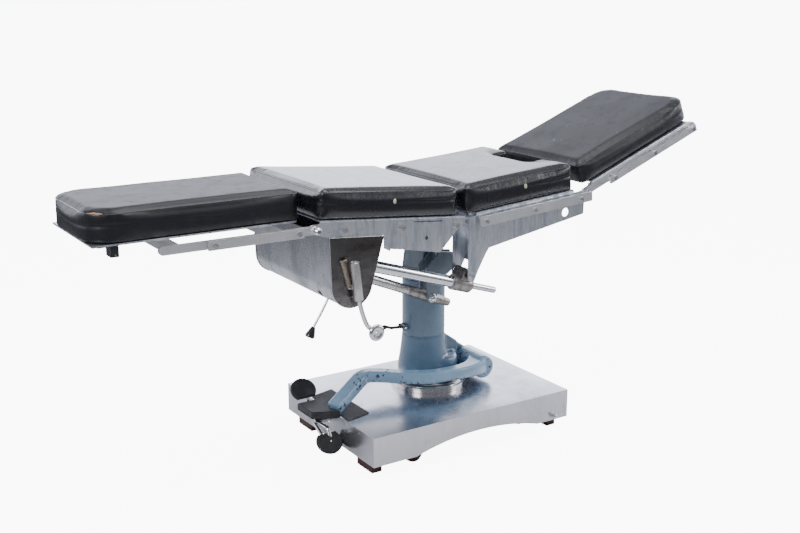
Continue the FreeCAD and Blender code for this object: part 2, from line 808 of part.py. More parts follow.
# Leg section: two box bars from the leg hinge, the deck and the pad
leg_bar_inner = S.frame_half - S.side_gap - S.leg_bar_wall
leg_low = 14 - S.leg_bar_height
leg_rail_end = S.leg_reach - S.leg_rail_inset
leg_pad_end = S.leg_reach + S.leg_pad_overhang
leg_pad_half = S.frame_half - S.leg_pad_inset
leg_bars = new_body("leg_bars", leg)
leg_half = S.leg_bar_height / 2
leg_mid = 14 - leg_half
add_plate(
    leg_bars,
    [(28, leg_low), (S.leg_reach - leg_half, leg_low), (S.leg_reach - leg_half, 14), (28, 14)],
    leg_bar_inner, S.leg_bar_wall, {1: (S.leg_reach, leg_mid, S.leg_reach - leg_half, leg_mid)},
    [(x, leg_mid, bolt_bore) for x in (S.leg_rail_start + 19, S.leg_rail_start + 212, leg_rail_end - 19)],
)
points, bends = strap(28, 0, size(0), eye - 1, leg_low, 14)
add_plate(leg_bars, points, S.frame_half - S.side_gap - 10, 10, bends, [(0, 0, pin_bore)])
leg_bolts = [S.leg_rail_start + 19, S.leg_rail_start + 212, leg_rail_end - 19]
leg_deck = new_body("leg_deck", leg)
leg_deck_half = leg_pad_half - 3
pad(leg_deck, sketch_on(
    leg_deck, "XY_Plane", 14,
    [(40, -leg_deck_half - 10), (S.leg_reach - 20, -leg_deck_half - 10),
     (S.leg_reach - 20, leg_deck_half + 10), (40, leg_deck_half + 10)],
), S.leg_pad_level - S.face_gap - 14)
cushion(
    "leg_pad", leg, S.leg_pad_level, S.leg_pad_height,
    [(S.leg_pad_start, -leg_pad_half), (leg_pad_end, -leg_pad_half),
     (leg_pad_end, leg_pad_half), (S.leg_pad_start, leg_pad_half)],
    S.leg_pad_corner, lambda box: box.XMin > leg_pad_end.number / 2,
)
rail("leg_rails", leg, S.leg_rail_start, leg_rail_end, leg_mid, S.leg_rail_height, leg_bolts)
leg_face = S.frame_half - S.side_gap
group("leg_rail_fasteners", leg, rail_fasteners(
    leg_bolts, leg_mid, leg_face, rail_outer, leg_bar_inner))

# Head section: two flat bars, two cross members, the deck and the pad
head_half_bar = S.head_bar_height / 2
head_bar_inner = outer_face - 4.5 + S.side_gap
head_face = head_bar_inner + S.head_bar_wall
head_bolts = [-(S.head_rail_start + 16), -(S.head_rail_end - 18.5)]
head_bars = plate(
    "head_bars", head,
    [(-S.head_reach, -head_half_bar), (0, -head_half_bar), (0, head_half_bar), (-S.head_reach, head_half_bar)],
    head_bar_inner, S.head_bar_wall,
    {1: (head_half_bar, 0, 0, 0), 3: (-S.head_reach - head_half_bar, 0, -S.head_reach, 0)},
    [(0, 0, pin_bore)] + [(x, 0.5, bolt_bore) for x in head_bolts],
)
for x in (-120, -S.head_reach + 28):
    pad(head_bars, sketch_on(head_bars, "XZ_Plane", -head_bar_inner, [
        (x - 20, -9), (x + 20, -9), (x + 20, 12.5), (x - 20, 12.5)]), 2 * head_bar_inner)
latch_x = -S.head_pad_end + 64
plate(
    "head_latch", head,
    [(latch_x - 34, 8), (latch_x, 8), (latch_x, -22), (latch_x + 24, -22), (latch_x + 24, 12.5),
     (latch_x - 34, 12.5)],
    130, 40, both=False,
)
head_deck = new_body("head_deck", head)
pad(head_deck, sketch_on(
    head_deck, "XY_Plane", 12.5,
    [(-S.head_pad_end + 12, -S.head_deck_half), (-20, -S.head_deck_half), (-20, S.head_deck_half),
     (-S.head_pad_end + 12, S.head_deck_half)],
), S.head_pad_level - S.face_gap - 12.5)
cushion(
    "head_pad", head, S.head_pad_level, S.head_pad_height,
    [(-S.head_pad_end, -S.head_pad_half), (-S.head_pad_start, -S.head_pad_half),
     (-S.head_pad_start, S.head_pad_half), (-S.head_pad_end, S.head_pad_half)],
    S.head_pad_corner, lambda box: box.XMax < -S.head_pad_end.number / 2,
)
rail("head_rails", head, -S.head_rail_end, -S.head_rail_start, 0.5, S.head_rail_height, head_bolts)
group("head_rail_fasteners", head, rail_fasteners(
    head_bolts, 0.5, head_face, rail_outer, head_bar_inner))

# Hinge pins
tilt_pin = fuse("tilt_pin_solid", [
    bar("tilt_shaft", 0, 0, -(S.cheek_inner + S.cheek_wall + 4), S.tilt_pin_radius,
        2 * (S.cheek_inner + S.cheek_wall + 4)),
    bar("tilt_cap_near", 0, 0, -(S.cheek_inner + S.cheek_wall + 8), S.tilt_pin_radius + 7, 8 - S.face_gap),
    bar("tilt_cap_far", 0, 0, S.cheek_inner + S.cheek_wall + S.face_gap, S.tilt_pin_radius + 7, 8 - S.face_gap),
])
group("back_pins", back, [tilt_pin] + [
    hinge_pin(seat_hinge[0], seat_hinge[1], seat_lug_outer - S.lug_wall - S.face_gap, lug_outer, side)
    for side in (-1, 1)
] + [
    hinge_pin(head_hinge[0], head_hinge[1], lug_inner - S.face_gap, head_face + 1, side, True)
    for side in (-1, 1)
])
group("seat_hinge_pins", seat, [
    hinge_pin(leg_hinge[0], leg_hinge[1], S.frame_half - S.side_gap - 10 - S.face_gap, outer_face + 2, side)
    for side in (-1, 1)
])

# Column: a fixed casting with its boot, the ram and the head casting that lifts
casting = new_body("column_casting", column)
flare_top = S.flare_level + S.flare_height
flare_bend = S.flare_end - 60
revolve(casting, sketch_on(
    casting, "XZ_Plane", 0,
    [(0, S.plateau_level - S.cover_wall), (S.foot_radius, S.plateau_level - S.cover_wall),
     (S.foot_radius, S.flare_level), (S.flare_radius, S.flare_level), (S.flare_radius, flare_top),
     (S.column_radius + 3, flare_bend), (S.column_radius, S.flare_end), (S.column_radius, S.column_top),
     (S.ram_radius + S.running_gap, S.column_top), (S.ram_radius + S.running_gap, 170), (0, 170)],
), "Z_Axis")
nose = S.boot_reach
pad(casting, sketch_on(
    casting, "XY_Plane", S.flare_level,
    [(60, -S.boot_radius), (nose, -S.boot_radius), (nose, S.boot_radius), (60, S.boot_radius)],
    {1: (nose + S.boot_radius, 0, nose, 0)},
), S.boot_height)
slope = sketch_on(
    casting, "XZ_Plane", -S.flare_radius - 1,
    [(84, S.flare_level + S.boot_height + 1), (nose + 72, S.flare_level + S.boot_height + 1),
     (nose + 72, 262), (nose + 36, 290)],
)
pocket(casting, slope, 2 * S.flare_radius + 2, reverse=True)
lug_y = 26
pump_x_column = S.pump_x + S.column_setback
pad(casting, sketch_on(
    casting, "XZ_Plane", -60,
    [(100, 204), (pump_x_column, S.pump_level - 34), (pump_x_column, S.pump_level + 34), (128, 292),
     (100, 292)],
    {1: (pump_x_column + 34, S.pump_level, pump_x_column, S.pump_level)},
    holes=[(pump_x_column, S.pump_level, S.pump_pin)],
), 60 - lug_y)

lever_x = -S.column_radius - 10
lever_z = 372
ear_half = 12
for start in (ear_half + S.face_gap, -ear_half - S.face_gap - 4):
    pad(casting, sketch_on(
        casting, "XZ_Plane", start,
        [(lever_x, lever_z - 8), (-S.column_radius + 6, lever_z - 12), (-S.column_radius + 6, lever_z + 12),
         (lever_x, lever_z + 8)],
        {3: (lever_x - 8, lever_z, lever_x, lever_z)},
        holes=[(lever_x, lever_z, 4)],
    ), 4)

ram = node(post("ram_bar", 0, 0, S.ram_bottom, S.ram_radius, S.column_top - S.ram_bottom + 20), "ram", column)

head_cast = new_body("column_head", column)
collar_low = S.column_top + S.side_gap
revolve(head_cast, sketch_on(
    head_cast, "XZ_Plane", 0,
    [(0, S.column_top + 20), (S.ram_radius + S.running_gap, S.column_top + 20),
     (S.ram_radius + S.running_gap, collar_low), (S.collar_radius, collar_low),
     (S.collar_radius, collar_low + S.collar_height), (0, collar_low + S.collar_height + 8)],
), "Z_Axis")
pad(head_cast, sketch_on(
    head_cast, "XZ_Plane", -S.head_half,
    [(-S.head_width, S.column_top + 20), (S.head_width, S.column_top + 20), (S.head_boss, S.pivot_height),
     (-S.head_boss, S.pivot_height)],
    {2: (0, S.pivot_height + S.head_boss, 0, S.pivot_height)},
    holes=[(0, S.pivot_height, S.tilt_pin_radius + S.running_gap)],
), 2 * S.head_half)
# A fork beside the column that holds the tilt jack
fork_x = tilt_eye[0] - column.x
fork_z = tilt_eye[1]
fork_points = [
    (fork_x - 16, fork_z), (fork_x + 16, fork_z), (fork_x + 40, fork_z + 60), (S.head_width, 600),
    (S.head_width, 640), (-20, 650), (fork_x - 24, 600)]
fork_bend = {0: (fork_x, fork_z - 16, fork_x, fork_z)}
ear_inner = 74
ear_outer = 118
eye_hole = [(fork_x, fork_z, S.hinge_pin)]
for inner in (ear_inner, ear_outer):
    pad(head_cast, sketch_on(head_cast, "XZ_Plane", inner, fork_points, fork_bend, eye_hole), S.ear_wall)
pad(head_cast, sketch_on(
    head_cast, "XZ_Plane", S.head_half - 1,
    [(-30, 600), (S.head_width - 4, 600), (S.head_width - 4, 636), (-20, 644)],
), ear_outer + S.ear_wall - S.head_half + 1)

# Flex jack: the screw hangs on a trunnion in the trough, the nut and its tube ride on it
screw_far = flex_reach + 150
flex_screw = new_body("flex_screw", flex)
revolve(flex_screw, sketch_on(
    flex_screw, "XZ_Plane", 0,
    [(0, 0), (0, S.flex_screw_radius), (screw_far - 4, S.flex_screw_radius),
     (screw_far, S.flex_screw_radius - 4), (screw_far, 0)],
), "X_Axis")


def slide_y(obj, frame, y):
    """Stand a body that is modelled about y = 0 at its own distance across the table."""
    put(obj, frame.x, y, frame.z, V(0, 1, 0), frame.turn)


slide_y(flex_screw, flex, -S.flex_side)
pad(flex_screw, sketch_on(
    flex_screw, "XZ_Plane", -flex_block, [(-10, -14), (22, -14), (22, 14), (-10, 14)],
), 2 * flex_block)
pin_reach = flex_block + ear_gap + ear_plate
pad(flex_screw, sketch_on(
    flex_screw, "XZ_Plane", -pin_reach, holes=[(0, 0, trunnion_pin)]), 2 * pin_reach)
flex_nut = new_body("flex_nut", flex)
nut_start = flex_reach - 35
nut_end = flex_reach + 43
bore = S.flex_screw_radius + S.running_gap
revolve(flex_nut, sketch_on(
    flex_nut, "XZ_Plane", 0,
    [(S.flex_tube_start, bore), (S.flex_tube_start, S.flex_tube_radius), (nut_start, S.flex_tube_radius),
     (nut_start, 26), (nut_end - 8, 26), (nut_end, 20), (nut_end, bore)],
), "X_Axis")
slide_y(flex_nut, flex, -S.flex_side)
neck = sketch_on(
    flex_nut, "XZ_Plane", -30,
    [(flex_reach - 22, 14), (flex_reach + 22, 14), (flex_reach + 16, S.flex_axis_drop),
     (flex_reach - 16, S.flex_axis_drop)],
    {2: (flex_reach, S.flex_axis_drop + 16, flex_reach, S.flex_axis_drop)},
    holes=[(flex_reach, S.flex_axis_drop, S.hinge_pin + 6)],
)
pad(flex_nut, neck, 60)

tilt_far = tilt_reach + 91
tilt_screw = new_body("tilt_screw", tilt)
revolve(tilt_screw, sketch_on(
    tilt_screw, "XZ_Plane", 0,
    [(0, 0), (0, S.tilt_screw_radius), (tilt_far - 4, S.tilt_screw_radius),
     (tilt_far, S.tilt_screw_radius - 4), (tilt_far, 0)],
), "X_Axis")
pad(tilt_screw, sketch_on(
    tilt_screw, "XZ_Plane", -tilt_block, [(-12, -13), (18, -13), (18, 13), (-12, 13)],
), 2 * tilt_block)
pin_reach = tilt_block + ear_gap + ear_plate
pad(tilt_screw, sketch_on(
    tilt_screw, "XZ_Plane", -pin_reach, holes=[(0, 0, trunnion_pin)]), 2 * pin_reach)
slide_y(tilt_screw, tilt, -S.tilt_side)
tilt_nut = new_body("tilt_nut", tilt)
tilt_bore = S.tilt_screw_radius + S.running_gap
casting_start = tilt_reach - 90
revolve(tilt_nut, sketch_on(
    tilt_nut, "XZ_Plane", 0,
    [(S.tilt_tube_start, tilt_bore), (S.tilt_tube_start, S.tilt_tube_radius),
     (casting_start, S.tilt_tube_radius), (casting_start + 20, 17.3), (tilt_reach + 20, 17.3),
     (tilt_reach + 88, 13), (tilt_reach + 88, tilt_bore)],
), "X_Axis")
slide_y(tilt_nut, tilt, -S.tilt_side)

# Crank: a shaft into the trough, a sleeve and a rod outside, and a round knob
crank_world = back.world(*crank_at)
crank_frame = Frame(crank_world[0], crank_world[1])
crank_plane = end_face + S.crank_standoff
crank_root = S.frame_half - S.crank_shaft_depth
crank_parts = [
    bar("crank_shaft_bar", 0, 0, -crank_plane, S.crank_shaft, crank_plane - crank_root),
    ball("crank_elbow", 0, -crank_plane, 0, S.crank_sleeve + 2),
]


def rod_between(label, x0, z0, x1, z1, y, radius):
    """A round rod in an upright plane at y, from one point to another."""
    solid = doc.addObject("Part::Cylinder", label)
    solid.Radius = size(radius).number
    bind(solid, "Radius", radius)
    run = size(x1) - x0
    rise = size(z1) - z0
    length = root(run * run + rise * rise)
    solid.Height = length.number
    bind(solid, "Height", length)
    put(solid, x0, y, z0, V(0, 1, 0), bearing(run, rise))
    return solid


crank_bend = (15, -39)
crank_corner = (41, -122)
knob_at = (66, -146)
rod_radius = 6
crank_parts += [
    rod_between("crank_sleeve_bar", -5, 72, *crank_bend, -crank_plane, S.crank_sleeve),
    rod_between("crank_rod", *crank_bend, *crank_corner, -crank_plane, rod_radius),
    ball("crank_corner_ball", crank_corner[0], -crank_plane, crank_corner[1], rod_radius + 0.8),
    rod_between("crank_end_rod", *crank_corner, *knob_at, -crank_plane, rod_radius),
    ball("crank_end_ball", knob_at[0], -crank_plane + 1, knob_at[1], rod_radius + 0.5),
]

# The knob turns on a spindle outside the rod, between the rod and a cap
spindle = 5
knob_wall = 15
knob_inner = crank_plane + rod_radius + S.face_gap
knob_outer = knob_inner + knob_wall
cap_wall = 2
cap_outer = knob_outer + S.face_gap + cap_wall
crank_parts += [
    bar("crank_spindle", *knob_at, -cap_outer + 0.5, spindle, cap_outer - 0.5 - crank_plane),
    bar("crank_cap", *knob_at, -cap_outer, spindle + 4, cap_wall),
]
node(fuse("crank_solid", crank_parts), "crank_arm", crank_frame)
knob = new_body("crank_knob", Frame(crank_world[0] + knob_at[0], crank_world[1] + knob_at[1]))
knob_bore = spindle + S.running_gap
knob_edge = 5
revolve(knob, sketch_on(
    knob, "YZ_Plane", 0,
    [(-knob_outer, knob_bore), (-knob_outer, S.crank_knob - knob_edge), (-knob_outer + knob_edge, S.crank_knob),
     (-knob_inner - knob_edge, S.crank_knob), (-knob_inner, S.crank_knob - knob_edge),
     (-knob_inner, knob_bore)],
), "Y_Axis")

group("crank_barrel", back, [
    rod_between("barrel", trough_x - 45, 55, trough_x - 20, -35, -(end_face + 9), 8.5),
])

selector_pin = selector_half + ear_gap + ear_plate
selector_parts = [
    rod_between("selector_rod", -4, -8, -70, -131, selector_y, 6),
    ball("selector_ball", -88, selector_y, -155, 16),
    rod_between("selector_tip", -70, -131, -84, -150, selector_y, 6),
    bar("selector_hub", 0, 0, selector_y - selector_half, 16, 2 * selector_half),
    bar("selector_pin_bar", 0, 0, selector_y - selector_pin, trunnion_pin, 2 * selector_pin),
]
selector_frame = Frame(*back.world(trough_x, trough_z))
node(fuse("selector_solid", selector_parts), "selector_lever", selector_frame)
slot = sketch_on(
    trough, "XZ_Plane", 150,
    [(trough_x - 4, trough_z - 24), (trough_x - 120, trough_z - 50), (trough_x - 120, trough_z - 130),
     (trough_x - 14, trough_z - 130)],
)
pocket(trough, slot, 20, reverse=True)

# Base: cover, chassis, feet, castors, ring and mat
cover = new_body("base_cover", base)
half_x = S.cover_length / 2
half_y = S.cover_width / 2
top_x = half_x - S.plateau_inset_end
top_y = half_y - S.plateau_inset_side


def rectangle(hx, hy):
    return [(-hx, -hy), (hx, -hy), (hx, hy), (-hx, hy)]


pad(
    cover, sketch_on(cover, "XY_Plane", S.cover_bottom, rectangle(half_x, half_y)),
    S.eave_level - S.cover_bottom,
)
eave = sketch_on(cover, "XY_Plane", S.eave_level, rectangle(half_x, half_y))
plateau = sketch_on(cover, "XY_Plane", S.plateau_level, rectangle(top_x, top_y))
roof = cover.newObject("PartDesign::AdditiveLoft", "Roof")
roof.Profile = (eave, [""])
roof.Sections = [(plateau, [""])]
roof.Ruled = True
cover.Tip = roof
doc.recompute()
room_x = half_x - S.cover_wall
room_y = half_y - S.cover_wall
room_top = S.eave_level - S.cover_wall
room = sketch_on(cover, "XY_Plane", room_top, rectangle(room_x, room_y))
pocket(cover, room, room_top - S.cover_bottom + 1)
ceiling = cover.newObject("PartDesign::SubtractiveLoft", "Ceiling")
ceiling.Profile = (sketch_on(cover, "XY_Plane", room_top - 0.01, rectangle(room_x, room_y)), [""])
ceiling.Sections = [(sketch_on(
    cover, "XY_Plane", S.plateau_level - S.cover_wall, rectangle(top_x, top_y)), [""])]
ceiling.Ruled = True
cover.Tip = ceiling
arch_radius = (S.arch_left * S.arch_left + S.arch_rise * S.arch_rise) / (2 * S.arch_rise)
arch = sketch_on(
    cover, "XZ_Plane", -half_y - 1,
    [(15 - S.arch_left, S.cover_bottom - 1), (15 + S.arch_left, S.cover_bottom - 1),
     (15 + S.arch_left, S.cover_bottom), (15 - S.arch_left, S.cover_bottom)],
    {2: (15, S.cover_bottom + S.arch_rise, 15, S.cover_bottom + S.arch_rise - arch_radius)},
)
pocket(cover, arch, S.cover_width + 2, reverse=True)
shaft_hole = sketch_on(cover, "YZ_Plane", -half_x - 1, holes=[(0, S.rocker_level, S.rocker_shaft + 2)])
pocket(cover, shaft_hole, 20, reverse=True)
knob_hole = sketch_on(cover, "XZ_Plane", half_y + 1, holes=[(328, 56, 4 + S.running_gap)])
pocket(cover, knob_hole, 10)
ring_hole = sketch_on(
    cover, "XY_Plane", S.plateau_level + 1,
    holes=[(S.ring_shift, 0, S.ring_radius - 20)],
)
pocket(cover, ring_hole, 10)

chassis = new_body("chassis_frame", base)
rail_middle = half_y - S.chassis_rail_inset
chassis_half = half_x - S.chassis_end_gap
foot_x = chassis_half - S.foot_setback
castor_x = chassis_half - S.castor_setback
castor_y = rail_middle + S.castor_outset
rail_y0 = rail_middle - S.chassis_rail_width / 2
rail_y1 = rail_middle + S.chassis_rail_width / 2
chassis_top = S.chassis_level + S.chassis_height
castor_bore = S.castor_stem + S.running_gap
under_roof = S.plateau_level - S.cover_wall
beam_half = rail_y1 - 6
chassis_rail = pad(chassis, sketch_on(
    chassis, "XY_Plane", S.chassis_level,
    [(-chassis_half, rail_y0), (chassis_half, rail_y0), (chassis_half, rail_y1),
     (-chassis_half, rail_y1)],
    holes=[(-castor_x, castor_y, castor_bore), (castor_x, castor_y, castor_bore)],
), S.chassis_height)
pair(chassis, chassis_rail)
for x0, x1 in ((-220, -170), (-130, 130), (190, 240)):
    pad(chassis, sketch_on(
        chassis, "XY_Plane", chassis_top,
        [(x0, -beam_half), (x1, -beam_half), (x1, beam_half), (x0, beam_half)],
    ), under_roof - chassis_top)
bosses = pad(chassis, sketch_on(
    chassis, "XY_Plane", S.chassis_level - 15,
    holes=[(x, castor_y, r) for x in (-castor_x, castor_x) for r in (20, castor_bore)],
), 15)
pair(chassis, bosses)
foot_posts = pad(chassis, sketch_on(
    chassis, "XY_Plane", S.foot_height,
    holes=[(x, rail_middle, S.foot_post) for x in (-foot_x, foot_x)],
), S.chassis_level - S.foot_height)
pair(chassis, foot_posts)
pad(chassis, sketch_on(
    chassis, "YZ_Plane", -chassis_half + 5,
    [(-rail_y0, S.chassis_level), (rail_y0, S.chassis_level), (rail_y0, chassis_top), (-rail_y0, chassis_top)],
    holes=[(0, S.rocker_level, S.rocker_shaft + S.running_gap)],
), 30)

ring = new_body("column_flange_ring", Frame(S.base_centre + S.ring_shift, 0))
band_top = S.plateau_level + S.ring_band
dish_run = S.ring_radius - 4 - S.ring_top_radius
dish_rise = S.ring_top - band_top - 5
dish_radius = (dish_run * dish_run + dish_rise * dish_rise) / (2 * dish_rise)
half_root = math.sqrt(3) / 2
dish_centre = (S.ring_radius - 4, band_top + 5 + dish_radius)
revolve(ring, sketch_on(
    ring, "XZ_Plane", 0,
    [(S.foot_radius + 25, S.plateau_level), (S.ring_radius, S.plateau_level), (S.ring_radius, band_top),
     (S.ring_radius - 4, band_top + 2), (S.ring_radius - 4, band_top + 5),
     (S.ring_top_radius, S.ring_top), (S.foot_radius + 25, S.ring_top)],
    {4: (dish_centre[0] - dish_radius / 2, dish_centre[1] - dish_radius * half_root, *dish_centre)},
), "Z_Axis")

mat = new_body("footplate_mat", base)
fall = (S.plateau_level - S.eave_level) / S.plateau_inset_end
mat_x1 = -half_x + S.mat_start
mat_x0 = mat_x1 - S.mat_length


def slope_level(x):
    return S.eave_level + (x + half_x) * fall


lift = S.face_gap
pad(mat, sketch_on(
    mat, "XZ_Plane", -S.mat_half,
    [(mat_x0, slope_level(mat_x0) + lift), (mat_x1, slope_level(mat_x1) + lift),
     (mat_x1, slope_level(mat_x1) + lift + S.mat_wall), (mat_x0, slope_level(mat_x0) + lift + S.mat_wall)],
), 2 * S.mat_half)

corners = [(-1, -1), (1, -1), (1, 1), (-1, 1)]
feet = []
for sx, sy in corners:
    feet.append(block(
        "foot_block", foot_x * sx - S.foot_length / 2, rail_middle * sy - S.foot_width / 2, 0,
        S.foot_length, S.foot_width, S.foot_height))
group("floor_feet", base, feet)

# Castors: each fork swivels in the chassis and its wheel trails behind the stem
wheel_z = S.wheel_radius + S.wheel_lift
for number, ((sx, sy), heading) in enumerate(zip(corners, (-48, 48, -48, 132)), start=1):
    at_x = S.base_centre + castor_x * sx
    at_y = castor_y * sy
    fork = new_body("castor_fork_%d" % number, None)
    crown = S.wheel_radius * 2 + 8
    for low, high, radius in (
        (crown, S.chassis_level - 15 - S.face_gap, 18), (S.chassis_level - 16, chassis_top - 10, S.castor_stem)
    ):
        pad(fork, sketch_on(fork, "XY_Plane", low, holes=[(0, 0, radius)]), high - low)
    cheek_in = S.wheel_width / 2 + 1
    cheek = pad(fork, sketch_on(
        fork, "XZ_Plane", cheek_in,
        [(-14, crown), (-14, crown - 2), (S.castor_trail - 9, wheel_z), (S.castor_trail + 9, wheel_z),
         (S.castor_trail + 9, wheel_z + 6), (20, crown)],
        {2: (S.castor_trail, wheel_z - 9, S.castor_trail, wheel_z)},
    ), S.castor_fork_wall)
    pair(fork, cheek)
    pad(fork, sketch_on(
        fork, "XY_Plane", crown - 4,
        [(-14, -cheek_in - S.castor_fork_wall), (24, -cheek_in - S.castor_fork_wall),
         (24, cheek_in + S.castor_fork_wall), (-14, cheek_in + S.castor_fork_wall)],
    ), 4)
    axle = pad(fork, sketch_on(
        fork, "XZ_Plane", -cheek_in - 1, holes=[(S.castor_trail, wheel_z, 4)],
    ), 2 * cheek_in + 2)
    put(fork, at_x, at_y, 0, V(0, 0, 1), heading)
    wheel = new_body("castor_wheel_%d" % number, None)
    half_width = S.wheel_width / 2
    revolve(wheel, sketch_on(
        wheel, "YZ_Plane", 0,
        [(-half_width, 4 + S.running_gap), (-half_width, S.wheel_radius - 4), (-half_width + 4, S.wheel_radius),
         (half_width - 4, S.wheel_radius), (half_width, S.wheel_radius - 4), (half_width, 4 + S.running_gap)],
    ), "Y_Axis")
    turn = math.radians(heading)
    put(
        wheel, at_x + S.castor_trail * math.cos(turn), at_y + S.castor_trail * math.sin(turn), wheel_z,
        V(0, 0, 1), heading,
    )

# Pump lever: hub on the column's lug, an arm past the column and a treadle at the head end
pump_frame = Frame(S.base_centre + S.pump_x, S.pump_level)
pump_hub = cut(
    "pump_hub_ring", bar("pump_hub_bar", 0, 0, -100, S.pump_hub, 100 + lug_y - 1),
    bar("pump_hub_bore", 0, 0, -101, S.pump_pin + S.running_gap, 102 + lug_y),
)
route = [(0, -62, 2), (-60, -112, 6), (-140, -122, 6), (-220, -115, 6), (-304, -62, 10), (-370, -15, 16),
         (-432, 0, 20), (-566, 0, -38)]


def smooth_path(points, radius):
    """A wire of straight runs joined by arcs."""
    edges = []
    start = points[0]
    for before, corner, after in zip(points, points[1:], points[2:]):
        back_way = (before - corner).normalize()
        on_way = (after - corner).normalize()
        turn = math.pi - back_way.getAngle(on_way)
        reach = radius * math.tan(turn / 2)
        first = corner + back_way * reach
        last = corner + on_way * reach
        bisector = (back_way + on_way).normalize()
        middle = corner + bisector * (radius / math.cos(turn / 2) - radius)
        edges.append(Part.LineSegment(start, first).toShape())
        edges.append(Part.Arc(first, middle, last).toShape())
        start = last
    edges.append(Part.LineSegment(start, points[-1]).toShape())
    return Part.Wire(edges)


path = smooth_path([V(x, y, z) for x, y, z in route], 45)
half_w = S.pump_arm_width.number / 2
half_h = S.pump_arm_height.number / 2
start_way = (V(*route[1]) - V(*route[0])).normalize()
side_way = start_way.cross(V(0, 0, 1)).normalize()
origin = V(*route[0])
octagon = [(-1, -0.5), (-0.6, -1), (0.6, -1), (1, -0.5), (1, 0.5), (0.6, 1), (-0.6, 1), (-1, 0.5), (-1, -0.5)]
section = Part.makePolygon([
    origin + side_way * (half_w * u) + V(0, 0, half_h * w) for u, w in octagon])
sweep = Part.BRepOffsetAPI.MakePipeShell(path)
sweep.setBiNormalMode(V(0, 0, 1))
sweep.add(section)
sweep.build()
sweep.makeSolid()
arm_bar = doc.addObject("Part::Feature", "pump_arm_bar")
hub_room = Part.makeCylinder(S.pump_hub.number - 2, 300, V(0, -150, 0), V(0, 1, 0))
arm_bar.Shape = sweep.shape().cut(hub_room)
node(fuse("pump_arm_solid", [pump_hub, arm_bar]), "pump_arm", pump_frame)

tread_top = S.treadle_level - S.pump_level
tread_low = tread_top - S.treadle_wall
tread = new_body("pump_treadle", pump_frame)
tread_x = -S.pump_x
pad(tread, sketch_on(
    tread, "XY_Plane", tread_low,
    [(tread_x - 482, -54), (tread_x - 404, -92), (tread_x - 396, -92), (tread_x - 396, 46),
     (tread_x - 482, 46)],
), S.treadle_wall)

group("base_pins", base, [
    bar("pump_pin_bar", S.pump_x, S.pump_level, -104, S.pump_pin, 104 + 62),
    bar("release_pin_bar", -S.column_setback + lever_x, lever_z, -ear_half - 6, 4, 2 * ear_half + 12),
])

# Rocker: a shaft along X, two S-shaped arms and two round rubber pads
rocker_frame = Frame(S.base_centre, S.rocker_level)
pad_back = -S.rocker_x
shaft = stick("rocker_shaft_bar", -S.rocker_x + 8, 0, 0, S.rocker_shaft, 94)
hub = stick("rocker_hub", -S.rocker_x - 6, 0, 0, 16, 26)


def arm_solid(label, y_end, z_end, x_middle):
    """A bent rod from the hub to the back of a rocker pad."""
    points = [V(-S.rocker_x.number + 6, 0, 0), V(x_middle, y_end * 0.66, z_end * 0.12),
              V(x_middle, y_end * 0.86, z_end * 0.75), V(pad_back.number + 8, y_end, z_end)]
    wire = smooth_path(points, 12)
    circle = Part.Wire([Part.Circle(points[0], points[1] - points[0], 8).toShape()])
    pipe = Part.BRepOffsetAPI.MakePipeShell(wire)
    pipe.add(circle)
    pipe.build()
    pipe.makeSolid()
    solid = doc.addObject("Part::Feature", label)
    solid.Shape = pipe.shape()
    return solid


rocker_ends = [(89, 80), (-88, -44)]
arms = [arm_solid("rocker_arm_rod", y, z, -S.rocker_x.number + 14) for y, z in rocker_ends]
node(fuse("rocker_solid", [shaft, hub] + arms), "rocker_arms", rocker_frame)
discs = []
for y, z in rocker_ends:
    disc = doc.addObject("Part::Cylinder", "rocker_disc")
    disc.Radius = S.rocker_pad.number
    bind(disc, "Radius", S.rocker_pad)
    disc.Height = S.rocker_pad_wall.number
    bind(disc, "Height", S.rocker_pad_wall)
    put(disc, pad_back - S.rocker_pad_wall, y, z, V(0, 1, 0), 90)
    discs.append(disc)
group("rocker_pads", rocker_frame, discs)

# Release lever on the left of the column, and the ball knob low on the near side
lever_frame = Frame(column.x + lever_x, lever_z)
lever = cut("release_solid", fuse("release_bars", [
    rod_between("release_rod", 0, 0, -48, 4, 0, 5),
    rod_between("release_bend", -48, 4, -66, 11, 0, 5),
    ball("release_corner", -48, 0, 4, 5),
    bar("release_hub", 0, 0, -ear_half, 8, 2 * ear_half),
]), bar("release_bore", 0, 0, -ear_half - 1, 4 + S.running_gap, 2 * ear_half + 2))
node(lever, "release_lever", lever_frame)
group("release_grip", lever_frame, [rod_between("release_grip_bar", -68, 11, -102, 10, 0, 8)])
node(fuse("ball_knob_solid", [
    bar("ball_knob_rod", 328, 56, -half_y - 6, 4, 30),
    ball("ball_knob_ball", 328, -half_y - 9.5, 56, 9),
]), "ball_knob", base)

# Every feature has to be whole before anything is written
doc.recompute()
for obj in doc.Objects:
    if "Invalid" in obj.State or "Error" in obj.State:
        raise RuntimeError("%s is broken: %s" % (obj.Label, obj.State))
for obj in nodes:
    if obj.Shape.isNull() or not obj.Shape.isValid():
        raise RuntimeError("%s has no valid shape" % obj.Label)
for obj in nodes:
    obj.Shape.exportStep("parts/%s.step" % obj.Label)
for name, frame in (
    ("back", back), ("seat", seat), ("leg", leg), ("head", head), ("flex", flex), ("tilt", tilt),
    ("pump", pump_frame), ("rocker", rocker_frame), ("lever", lever_frame), ("crank", crank_frame),
    ("selector", selector_frame),
):
    turn = frame.turn.number if frame.turn is not None else 0
    print("%s %.3f %.3f %.4f" % (name, frame.x.number, frame.z.number, turn))
print("reach %.3f %.3f" % (flex_reach.number, tilt_reach.number))
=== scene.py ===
import json
import math

import bmesh
import bpy
from mathutils import Matrix, Vector, noise


